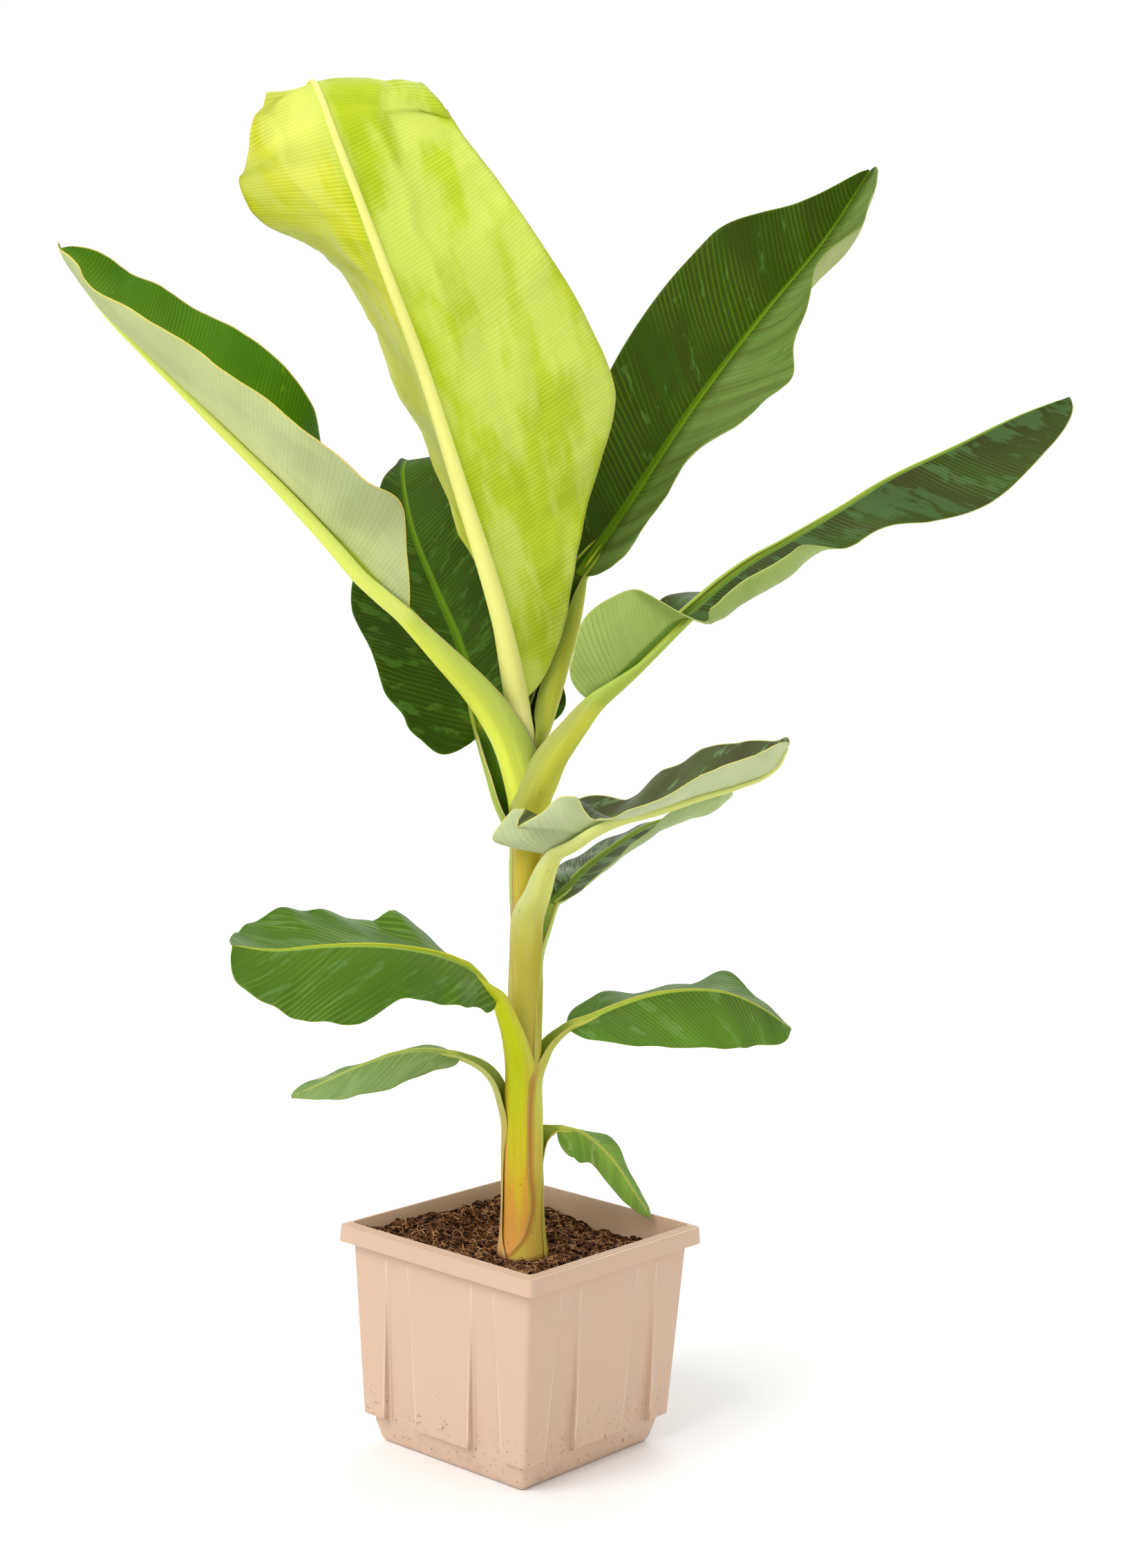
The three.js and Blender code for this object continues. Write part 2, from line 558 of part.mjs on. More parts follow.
// A blade is a thin slab under its upper side, thicker along the rib.
function bladeGeometry(leaf) {
  const curve = curveThrough(leaf.rib);
  const faces = curveThrough(leaf.face);
  const length = curve.getLength();
  const thickness = Math.max(length * LEAF_SLENDER, LEAF_THIN);
  const { steps, columns: halfColumns } = length > LONG_LEAF.from ? LONG_LEAF : SMALL_LEAF;
  const columns = 2 * halfColumns;
  const upper = [];
  for (let i = 0; i <= steps; i += 1) {
    const s = i / steps;
    upper.push(Array.from({ length: columns + 1 }, (_, j) =>
      bladePoint(leaf, curve, faces, s, (j - halfColumns) / halfColumns)));
  }
  const lower = upper.map((row, i) => row.map((p, j) => {
    const before = upper[Math.max(i - 1, 0)][j];
    const after = upper[Math.min(i + 1, steps)][j];
    const first = row[Math.max(j - 1, 0)];
    const final = row[Math.min(j + 1, columns)];
    const normal = after.clone().sub(before).cross(final.clone().sub(first)).normalize();
    const ribbed = j === halfColumns ? leaf.depth * (1 - i / steps) ** 1.5 * 0.6 : 0;
    return p.clone().addScaledVector(normal, thickness + ribbed);
  }));
  return slab(upper, lower);
}

// A stalk is a channel that opens towards the stem. It clasps the stem first, then runs free.
function stalkGeometry(leaf, grow) {
  const base = vector(leaf.rib[0]);
  const tangent = curveThrough(leaf.rib).getTangentAt(0);
  const points = [];
  const inward = [];
  const clasp = [];
  const rise = vector(leaf.rise).normalize();
  if (leaf.sheath) {
    const [direction, from, to] = leaf.sheath;
    const out = new THREE.Vector3(Math.cos(radians(direction)), Math.sin(radians(direction)), 0);
    [from - grow, (from + to) / 2, to].forEach((z) => {
      points.push(stemCentre(z).addScaledVector(out, valueAt(STEM_RADIUS, z) + SHEATH_GAP));
      inward.push(out.clone().negate());
      clasp.push(1);
    });
  }
  leaf.stalk.forEach((p, i) => {
    points.push(vector(p));
    const share = (i + 1) / (leaf.stalk.length + 1);
    const start = inward.length ? inward[0] : rise;
    inward.push(start.clone().lerp(rise, share));
    clasp.push(Math.max(0, 1 - 2.2 * share) * (leaf.sheath ? 1 : 0));
  });
  points.push(base.clone().addScaledVector(tangent, grow - GAP));
  inward.push(rise);
  clasp.push(0);
  const curve = new THREE.CatmullRomCurve3(points, false, "catmullrom");
  const facing = new THREE.CatmullRomCurve3(inward, false, "catmullrom");
  const clasping = clasp.map((value, i) => [i / (points.length - 1), value]);
  const outer = [];
  const inner = [];
  for (let i = 0; i <= STALK_STEPS; i += 1) {
    const u = i / STALK_STEPS;
    const place = curve.getPoint(u);
    const along = curve.getTangent(u);
    const off = facing.getPoint(u);
    off.addScaledVector(along, -off.dot(along)).normalize();
    const across = along.clone().cross(off);
    const held = valueAt(clasping, u);
    const stemRadius = valueAt(STEM_RADIUS, Math.min(place.z, stemTop)) + SHEATH_GAP;
    const channel = THREE.MathUtils.lerp(leaf.channel, stemRadius, held);
    const opening = radians(THREE.MathUtils.lerp(leaf.opening, SHEATH_REACH, held));
    const depth = THREE.MathUtils.lerp(leaf.depth, 2 + 1.5 * u, held);
    const row = (extra, shrink) => Array.from({ length: STALK_COLUMNS + 1 }, (_, j) => {
      const t = (2 * j) / STALK_COLUMNS - 1;
      const angle = opening * t * (1 + grow / channel);
      const radius = channel + extra * (1 - 0.7 * t * t) + shrink;
      return place.clone()
        .addScaledVector(off, channel - radius * Math.cos(angle))
        .addScaledVector(across, radius * Math.sin(angle));
    });
    outer.push(row(depth, grow));
    inner.push(row(0, -grow));
  }
  return slab(outer, inner);
}

const root = new THREE.Group();
root.add(named("pot", potGeometry(), 0xe0bb9e, 0.45));
root.add(named("soil", soilGeometry(), 0x4a3024, 1));
root.add(plantGroup);
plantGroup.add(named("stem", stemGeometry(0), 0xb8a43a, 0.5));

// Every stalk lies outside the stalks of the leaves above it, and every blade outside its neighbours.
const number = (i) => String(i + 1).padStart(2, "0");
const stemCutter = solid(stemGeometry(GAP));
const stalkCutters = LEAVES.map((leaf) => solid(stalkGeometry(leaf, GAP)));
LEAVES.forEach((leaf, i) => {
  const inner = stalkCutters.slice(0, i);
  const stalk = inner.reduce((body, cutter) => body.subtract(cutter), solid(stalkGeometry(leaf, 0)).subtract(stemCutter));
  const blade = stalkCutters.reduce((body, cutter) => body.subtract(cutter), solid(bladeGeometry(leaf)).subtract(stemCutter));
  plantGroup.add(named(`stalk_${number(i)}`, geometryOf(stalk), 0xc9c95c, 0.5));
  plantGroup.add(named(`leaf_${number(i)}`, geometryOf(blade), i === 0 ? 0xcfda3e : 0x557526, 0.45));
});

export default root;
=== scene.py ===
"""A young banana plant in a square plastic nursery pot, with its soil, on a plain studio floor.

Every leaf is one blade and one stalk. A stalk starts as a sheath that clasps the stem, runs free as
a channel and goes on as the rib under its blade. Sizes in the tables are millimetres, in the plant's
own frame, which is turned about +Z in the pot. Everything that is made is in metres.
"""

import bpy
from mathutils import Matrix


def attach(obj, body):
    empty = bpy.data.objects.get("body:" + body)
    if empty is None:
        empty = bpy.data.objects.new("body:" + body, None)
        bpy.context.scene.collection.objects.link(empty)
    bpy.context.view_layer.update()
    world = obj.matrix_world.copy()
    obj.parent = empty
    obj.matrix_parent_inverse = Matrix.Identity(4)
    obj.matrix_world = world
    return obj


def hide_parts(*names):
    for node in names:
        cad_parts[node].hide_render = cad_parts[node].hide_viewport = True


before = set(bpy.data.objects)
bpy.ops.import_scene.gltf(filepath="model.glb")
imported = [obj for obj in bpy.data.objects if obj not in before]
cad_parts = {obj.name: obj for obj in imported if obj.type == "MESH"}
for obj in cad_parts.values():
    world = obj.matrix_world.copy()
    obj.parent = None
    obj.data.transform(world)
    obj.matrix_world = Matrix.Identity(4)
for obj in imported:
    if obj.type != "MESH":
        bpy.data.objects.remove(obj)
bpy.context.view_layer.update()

import math
import random

import bmesh
import bpy
from bpy.props import FloatProperty, FloatVectorProperty, IntProperty, PointerProperty
from bpy.types import Operator, Panel, PropertyGroup
from mathutils import Matrix, Vector, noise

bl_info = {
    "name": "Banana plant in a square pot",
    "version": (1, 0, 0),
    "blender": (4, 5, 0),
    "location": "View3D > Sidebar > Plant",
    "description": "Makes a young banana plant, its pot and its soil on a plain studio floor",
    "category": "Add Mesh",
}

MM = 0.001
PLANT_TURN = math.radians(41.74)
PLANT = Matrix.Rotation(PLANT_TURN, 3, "Z")

# The photograph's frame in pixels, and its camera in the plant's frame, with angles in radians.
PHOTO_LONG_SIDE = 2268
CAMERA_FOCAL = 3806
CAMERA_PLACE = (0, -2635, 1007)
CAMERA_PAN = 0.0124
CAMERA_TILT = 0.1204
CAMERA_ROLL = 0.0275
SENSOR = 36

# Where the lights look, in metres.
LIGHT_AIM = Vector((0, 0, 0.65))

# The pot, as the solid has it.
POT_HEIGHT = 232
RIM_HALF = 132
SKIRT_HALF = 133
SKIRT_BOTTOM = 212
RIM_STEP_HALVES = (128.8, 126)
RIM_STEP = 1.2
MOUTH_HALF = 123.2
MOUTH_CORNER = 7
MOUTH_BOTTOM = 200
WALL_TOP_HALF = 122.4
WALL_FOOT_HALF = 104
FOOT_HEIGHT = 22
BASE_HALF = 95.8
WALL = 2.2
FLOOR = 3
CORNER_TOP = 5
CORNER_BASE = 4.6
PANEL_RELIEF = 7.6
PANEL_BOTTOM = 30
CORNER_PANEL_EDGE = (81.5, 74)
MIDDLE_PANEL_EDGE = (36.5, 44)
PANEL_CHAMFER = 1.2
LEDGE_WIDTH = 5
LEDGE_RELIEF = 1.3
INNER_LEVELS = (231, 222, 211, 200, 160, 120, 60, 22)

# The soil: its level by the stem and at its underside, the cells along one side of its top, and how
# many pieces lie on it, none of them nearer to the stem's middle than STEM_CLEARANCE.
SOIL_LEVEL = 199.2
SOIL_BOTTOM = 60
SOIL_CELLS = 210
STEM_CLEARANCE = 27
CRUMBS = 700
CHIPS = 90
FIBRES = 1500

# The stem's centre line by height, and the radius of its heart inside the sheaths.
STEM_LINE = ((2, 0, 199.5), (0, 0, 282), (-3, 0, 427), (-3, 0, 570), (-5, 0, 700), (-10, -4, 752))
HEART = ((199.5, 19), (240, 17), (400, 15), (540, 15), (620, 16), (690, 14.5), (745, 10))
FLARE = ((199.5, 1.21), (212, 1.12), (235, 1.04), (262, 1), (800, 1))

# The rib's width along the blade, as a share of its width at the base, and sizes that leaves share.
RIB_TAPER = ((0, 1), (0.3, 0.74), (0.5, 0.56), (0.75, 0.37), (0.9, 0.25), (1, 0.1))
SHEATH_THICKNESS = 1.0
BLADE_THICKNESS = 0.7
LONG_LEAF = 400

# One entry per leaf, from the top of the plant to its foot. rib, face, base, tip, sweep, width, lift
# and curl are the blade's, as the solids have them, and stations run from its base at 0 to its tip at
# 1. waves are ripples of the margin: height, count and phase. crumpled deepens the blade's small
# dents. A crease has a side (-1 is left), a start and an end along the rib, a depth, and its distance
# from the rib at its end and at its start. lean is how far the side veins lean to the tip, and taper
# an exponent on RIB_TAPER. turn is the way the sheath's back looks, foot and leave are where the
# sheath starts and leaves the stem. radius, ccw and cw are its outer radius and its reach round the
# stem to each side, by height. stalk is the free stretch, rise the way its channel opens, or several
# ways in turn, depth its thickness, channel its inner radius and opening its half angle. hold over 1
# keeps the sheath's form further up the stalk, and closed adds that many degrees to its half angle on
# the way.
LEAVES = {
    "01": dict(
        rib=((-18, -12, 770), (-37, -34, 860), (-76, -72, 980), (-115, -112, 1096), (-152, -148, 1190),
             (-202, -168, 1312), (-222, -125, 1354), (-240, -75, 1320)),
        face=((0, 1, 0), (0, 1, 0), (0, 1, 0.1), (0, 1, 0), (-0.1, 0.8, -0.6), (-0.2, 0.2, -1)),
        base=0.3, tip=0.12, sweep=((0, -0.05), (0.3, 0.1), (0.6, 0.15), (0.85, -0.1), (1, 0)),
        left=dict(
            width=((0, 85), (0.15, 105), (0.25, 142), (0.35, 174), (0.45, 164), (0.55, 146),
                   (0.65, 130), (0.75, 120), (0.85, 126), (0.93, 108), (1, 110)),
            lift=((0, 30), (0.3, 15), (0.6, 5), (0.85, 3), (0.93, -14), (1, -14)),
            curl=((0, 0), (0.5, 0), (0.85, 10), (0.93, 26), (1, 26)),
            waves=((2, 5, 0.1),)),
        right=dict(
            width=((0, 85), (0.1, 84), (0.2, 92), (0.45, 148), (0.65, 130), (0.8, 100), (0.87, 74),
                   (0.93, 56), (1, 45)),
            sweep=((0, -0.05), (0.3, 0.1), (0.6, 0.15), (0.77, 0.1), (0.87, -0.3), (0.93, -0.35), (1, -0.1)),
            lift=((0, 85), (0.25, 79), (0.45, 73), (0.6, 68), (0.72, 50), (0.85, 35), (1, 15)),
            curl=((0, 0), (0.6, 0), (0.8, -10), (1, 20)), waves=((2, 6, 0.4),)),
        lean=0.15, turn=-95, foot=560, leave=728, radius=((560, 14.5), (690, 14.5), (728, 13)),
        ccw=((560, 165), (700, 140), (728, 110)), cw=((560, 165), (700, 140), (728, 110)),
        stalk=((-14, -13, 749),), rise=(0.1, 1, 0.2), depth=8, channel=9, opening=85, crumpled=1.8,
        creases=((-1, 0.2, 0.55, 5, 62, 66), (-1, 0.45, 0.85, -6, 44, 40), (-1, 0.3, 0.5, 5, 105, 96),
                 (-1, 0.7, 0.95, 5, 70, 60), (1, 0.55, 0.9, -5, 50, 45))),
    "02": dict(
        rib=((-130, -45, 853), (-180, -55, 911), (-240, -60, 973), (-306, -58, 1034), (-372, -48, 1094),
             (-430, -30, 1148), (-477, 0, 1206)),
        face=((0.6, 0, 1), (0.6, 0, 1), (0.5, 0, 1)),
        base=0.12, tip=0.3, sweep=((0, -0.2), (0.3, 0.1), (1, 0.4)),
        left=dict(
            width=((0, 20), (0.1, 45), (0.2, 85), (0.3, 92), (0.5, 90), (0.8, 70), (1, 50)),
            lift=((0, 50), (0.15, 52), (0.25, 25), (0.45, 13), (0.65, 2), (0.8, -9), (1, -5)),
            curl=((0, 30), (0.3, 40), (1, 50)), waves=((2, 7, 0.2),)),
        right=dict(
            width=((0, 50), (0.3, 95), (0.6, 98), (1, 70)),
            lift=((0, 30), (0.3, 20), (0.4, 45), (0.52, 50), (0.65, 34), (0.8, 24), (1, 14)),
            curl=((0, 0), (1, 20)), waves=((3, 6, 0.5),)),
        lean=0.3, turn=195, foot=480, leave=690,
        radius=((480, 13.5), (535, 15), (565, 17), (640, 18), (665, 20), (690, 25)),
        ccw=((480, 140), (690, 128)), cw=((480, 120), (690, 80)),
        stalk=((-35, -12, 722), (-49, -19, 750), (-69, -27, 780), (-98, -37, 815)),
        rise=(0.6, 0, 1), depth=7, channel=10.5, opening=95, hold=1.9),
    "03": dict(
        rib=((42, 52, 896), (88, 80, 965), (155, 112, 1070), (224, 140, 1165), (288, 160, 1246),
             (336, 172, 1322)),
        face=((-0.1, -1, 0.25), (-0.1, -1, 0.3), (-0.1, -1, 0.3)),
        base=0.1, tip=0.35, sweep=((0, -0.1), (0.3, 0.1), (1, 0.4)),
        left=dict(
            width=((0, 30), (0.15, 60), (0.3, 88), (0.5, 98), (0.65, 94), (0.75, 74), (0.85, 50), (1, 22)),
            lift=20, curl=((0, 0), (0.5, -10), (1, 0)), waves=((2.5, 6, 0.0),)),
        right=dict(
            width=((0, 85), (0.08, 69), (0.2, 74), (0.3, 94), (0.38, 104), (0.47, 104), (0.56, 84),
                   (0.66, 100), (0.75, 122), (0.85, 110), (1, 80)),
            lift=((0, 45), (0.5, 35), (1, 40)),
            curl=((0, 20), (0.18, 35), (0.26, 45), (0.36, 30), (0.5, 10), (0.58, 30), (0.68, 70),
                  (0.8, 60), (1, 60)), waves=((1.5, 7, 0.3),)),
        lean=0.5, turn=60, foot=480, leave=722, radius=((480, 14), (560, 15), (640, 17), (722, 17.5)),
        ccw=((480, 120), (722, 115)), cw=((480, 120), (660, 120), (722, 125)),
        stalk=((12, 17, 745), (21, 22, 773), (29, 30, 807), (36, 38, 839), (40, 46, 874)),
        rise=((-1, -0.3, 0.3), (-0.9, -0.6, 0.3), (-0.4, -1, 0.3)),
        depth=6, channel=8.5, opening=95, closed=40, hold=0.6),
    "04": dict(
        rib=((-51, 50, 731), (-79, 105, 816), (-110, 155, 878), (-136, 195, 935), (-150, 245, 992),
             (-146, 295, 1008), (-138, 350, 985)),
        face=((0.1, -1, 0.25), (0.1, -1, 0.3), (0.1, -1, 0.5), (0, -0.7, 1), (0, 0.2, 1)),
        base=0.08, tip=0.3, sweep=((0, -0.4), (0.2, 0), (1, 0.3)),
        left=dict(
            width=((0, 80), (0.08, 80), (0.15, 94), (0.35, 98), (0.45, 84), (0.55, 58), (0.65, 34),
                   (0.72, 22), (0.8, 8), (1, 8)),
            sweep=((0, -0.7), (0.015, -0.6), (0.04, -0.28), (0.08, -0.19), (0.2, 0), (1, 0.3)),
            lift=15, curl=0, waves=((1.5, 5, 0.0),)),
        right=dict(
            width=((0, 90), (0.3, 95), (0.7, 80), (1, 60)), lift=15, curl=0, waves=((2.5, 5, 0.5),)),
        lean=0.5, turn=150, foot=480, leave=630, radius=((480, 13.5), (535, 15), (565, 17.3), (630, 20)),
        ccw=((480, 120), (630, 80)), cw=((480, 120), (630, 90)),
        stalk=((-33, 14, 668), (-41, 28, 697)), rise=(0.3, -1, 0.2), depth=6, channel=9, opening=90),
    "05": dict(
        rib=((62, -42, 773), (115, -50, 833), (190, -54, 905), (247, -56, 942), (294, -56, 972),
             (341, -54, 1003), (406, -46, 1036), (465, -34, 1066), (519, -20, 1088)),
        face=((-0.1, -1, 0.2), (-0.1, -1, 0.2)),
        base=0.05, tip=0.3, sweep=((0, -0.5), (0.2, 0), (1, 0.3)),
        left=dict(
            width=((0, 40), (0.2, 60), (0.3, 80), (0.7, 85), (1, 60)),
            lift=((0, -60), (0.2, -55), (0.3, -86), (1, -88)), curl=0, waves=((2, 6, 0.2),)),
        right=dict(
            width=((0, 33), (0.06, 50), (0.12, 68), (0.17, 60), (0.22, 44), (0.27, 96), (0.4, 112),
                   (0.48, 56), (0.56, 38), (0.65, 56), (0.75, 66), (0.85, 60), (1, 50)),
            lift=((0, 165), (0.18, 168), (0.245, 20), (0.42, 20), (0.55, 0), (1, 0)),
            curl=((0, 0), (0.2, 10), (0.26, 110), (0.42, 110), (0.5, 60), (0.58, 10), (0.7, 0), (1, 20)),
            waves=((2, 7, 0.1),)),
        lean=0.6, taper=1.7, turn=-40, foot=480, leave=665,
        radius=((480, 14), (535, 15.4), (565, 17.9), (600, 19.6), (640, 20.6), (665, 22.8)),
        ccw=((480, 110), (665, 90)), cw=((480, 110), (610, 108), (665, 116)),
        stalk=((19, -22, 690), (27, -29, 713), (44, -36, 743)), rise=(-0.6, 0.2, 0.8),
        depth=7, channel=10.5, opening=95, hold=1.6),
    "06": dict(
        rib=((26, -42, 620), (48, -70, 648), (81, -105, 670), (119, -135, 684), (156, -160, 700),
             (193, -180, 714), (224, -192, 730), (238, -200, 757)),
        face=((-0.5, -0.3, 1), (-0.2, -0.2, 1), (-0.2, -0.1, 1), (-0.3, -0.1, 1)),
        base=0.06, tip=0.25,
        sweep=((0, -0.7), (0.04, -0.67), (0.1, -0.38), (0.13, -0.5), (0.16, -0.65), (0.2, -0.4),
               (0.34, -0.3), (0.45, 0), (1, 0.3)),
        left=dict(
            width=((0, 20), (0.15, 40), (0.5, 62), (1, 45)),
            lift=((0, 60), (0.15, 38), (0.25, 2), (0.45, 20), (0.7, 32), (0.85, 27), (1, 10)),
            curl=((0, 10), (1, 5)), sweep=((0, 0), (0.3, 0), (1, 0.3)), waves=((1.5, 5, 0.2),)),
        right=dict(
            width=((0, 60), (0.04, 65), (0.1, 64), (0.13, 54), (0.16, 56), (0.2, 46), (0.24, 44), (0.28, 38),
                   (0.34, 30), (0.42, 48), (0.5, 62), (1, 45)),
            lift=((0, 68), (0.04, 68), (0.1, 74), (0.13, 74), (0.16, 38), (0.2, 48), (0.24, 63), (0.28, 60),
                  (0.34, 3), (0.55, 3), (0.75, 19), (0.85, 27), (1, 20)),
            curl=20, waves=((1.5, 5, 0.6),)),
        lean=0.6, turn=-52, foot=200, leave=548, radius=((200, 17.4), (480, 18), (548, 18.8)),
        ccw=((200, 90), (548, 85)), cw=((200, 120), (500, 118), (525, 112), (548, 104)),
        stalk=((14, -24, 575), (19, -33, 600)), rise=(-0.5, 0.3, 1), depth=5, channel=9, opening=85),
    "07": dict(
        rib=((24, 38, 559), (57, 70, 591), (88, 96, 612), (121, 118, 631), (155, 135, 641),
             (185, 148, 647), (213, 158, 662)),
        face=((-0.3, -0.7, 0.9), (-0.2, -0.7, 1), (-0.2, -0.6, 1)),
        base=0.1, tip=0.3, sweep=((0, -0.3), (0.3, 0), (1, 0.3)),
        left=dict(
            width=((0, 34), (0.5, 52), (1, 40)),
            lift=((0, 40), (0.1, 20), (0.25, -30), (0.7, -44), (0.85, -27), (1, -20)), curl=10,
            waves=((1.5, 5, 0.0),)),
        right=dict(
            width=((0, 30), (0.2, 48), (0.5, 62), (1, 50)), lift=((0, 28), (0.2, 4), (0.8, 0), (1, 10)),
            curl=((0, 20), (0.2, 60), (0.5, 85), (0.8, 110), (1, 120)), waves=((1.5, 5, 0.5),)),
        lean=0.7, turn=43, foot=200, leave=508, radius=((200, 18.2), (508, 19.6)),
        ccw=((200, 100), (508, 80)), cw=((200, 110), (480, 90), (508, 75)),
        stalk=((16, 22, 534),), rise=(-0.5, -0.6, 0.9), depth=5, channel=8.5, opening=75),
    "08": dict(
        rib=((-30, -60, 478), (-52, -82, 510), (-86, -112, 531), (-136, -148, 545), (-190, -172, 548),
             (-240, -190, 546), (-278, -200, 552)),
        face=((0.3, -0.7, 0.72), (0.1, -0.7, 0.72), (0, -0.7, 0.72)),
        base=0.06, tip=0.22, sweep=((0, -0.3), (0.3, 0.2), (0.7, 0.5), (1, 0.3)),
        left=dict(
            width=((0, 18), (0.05, 28), (0.1, 34), (0.25, 60), (0.45, 65), (0.55, 94), (0.7, 85),
                   (0.85, 64), (1, 52)),
            lift=((0, 10), (1, 5)), curl=-10, waves=((2.5, 5, 0.1), (1.2, 11, 0.3))),
        right=dict(
            width=((0, 14), (0.2, 36), (0.3, 56), (0.35, 64), (0.4, 61), (0.5, 68), (0.75, 66), (1, 50)),
            lift=((0, -45), (0.15, -45), (0.27, -32), (0.34, -20), (0.4, -36), (0.7, -24),
                  (0.85, -36), (1, -45)),
            curl=10, waves=((2, 7, 0.4),)),
        lean=0.9, turn=-112, foot=200, leave=392, radius=((200, 19.6), (320, 20), (392, 19.2)),
        ccw=((200, 100), (360, 82), (392, 74)), cw=((200, 100), (392, 75)),
        stalk=((-14, -30, 424), (-21, -42, 450)), rise=(0.3, 0.5, 0.9), depth=4.5, channel=7.5, opening=80),
    "09": dict(
        rib=((43, 20, 433), (75, 19, 450), (120, 20, 468), (165, 20, 476), (205, 20, 474),
             (240, 20, 460), (273, 20, 438)),
        face=((-0.2, -0.7, 0.72), (0, -0.7, 0.72), (0.3, -0.7, 0.72)),
        base=0.08, tip=0.25, sweep=((0, -0.2), (0.3, 0.1), (1, 0.4)),
        left=dict(
            width=((0, 26), (0.15, 40), (0.5, 58), (0.75, 52), (1, 40)),
            lift=((0, -25), (0.15, -25), (0.3, -50), (0.5, -48), (0.65, -32), (0.8, -44), (1, -44)), curl=0,
            waves=((1.2, 5, 0.1),)),
        right=dict(
            width=((0, 10), (0.15, 38), (0.25, 56), (0.4, 69), (0.55, 72), (0.75, 58), (0.85, 45), (1, 42)),
            lift=5, curl=-10, waves=((1.2, 5, 0.6),)),
        lean=0.6, turn=16, foot=200, leave=380, radius=((200, 21), (300, 21.6), (380, 20.8)),
        ccw=((200, 110), (300, 90), (380, 70)),
        cw=((199.5, 172), (206, 150), (214, 128), (232, 98), (262, 81), (300, 91), (360, 90), (380, 82)),
        stalk=((20, 9, 400), (27, 14, 417)), rise=(-0.7, -0.5, 0.8), depth=3.8, channel=5, opening=80),
    "10": dict(
        rib=((-67, 0, 405), (-95, -2, 411), (-130, -4, 408), (-168, -5, 394), (-205, -5, 376),
             (-238, -5, 360)),
        face=((0.2, -0.7, 0.72), (0, -0.7, 0.72), (-0.3, -0.7, 0.72)),
        base=0.12, tip=0.35, sweep=((0, -0.2), (0.3, 0.1), (1, 0.4)),
        left=dict(
            width=((0, 20), (0.15, 28), (0.25, 40), (0.4, 46), (0.6, 39), (0.8, 25), (1, 10)),
            lift=10, curl=10, waves=((1, 4, 0.1),)),
        right=dict(
            width=((0, 18), (0.3, 40), (0.6, 36), (1, 16)),
            lift=((0, -44), (0.45, -54), (0.75, -44), (1, -10)), curl=0, waves=((1, 4, 0.6),)),
        lean=1.0, turn=180, foot=200, leave=335, radius=((200, 22.2), (300, 22.4), (335, 22)),
        ccw=((200, 52), (210, 40), (228, 24), (260, 20), (300, 24), (335, 42)), cw=((200, 140), (335, 75)),
        stalk=((-26, 0, 358), (-33, -1, 380), (-46, -1, 395)), rise=(0.5, -0.3, 0.9), hold=0.8, depth=3.5,
        channel=4.6, opening=72),
    "11": dict(
        rib=((34, 18, 327), (56, 24, 324), (76, 28, 310), (97, 30, 288), (115, 30, 262), (134, 28, 234)),
        face=((0, -0.7, 0.72), (0.3, -0.8, 0.6), (0.5, -0.8, 0.4)),
        base=0.1, tip=0.4, sweep=((0, -0.2), (0.3, 0.1), (1, 0.4)),
        left=dict(
            width=((0, 20), (0.25, 34), (0.6, 30), (1, 16)),
            lift=((0, -70), (0.25, -58), (0.4, -32), (0.7, -46), (1, -30)), curl=0, waves=((1, 4, 0.3),)),
        right=dict(
            width=((0, 28), (0.1, 36), (0.25, 33), (0.35, 24), (0.5, 24), (0.7, 21), (1, 14)),
            lift=10, curl=0, waves=((1, 4, 0.7),)),
        lean=0.6, turn=45, foot=200, leave=300, radius=((200, 22.8), (300, 22.8)),
        ccw=((200, 120), (300, 80)), cw=((200, 75), (300, 60)),
        stalk=((20, 15, 318),), rise=(-0.2, -0.7, 0.9), depth=2.8, channel=3.6, opening=80),
}

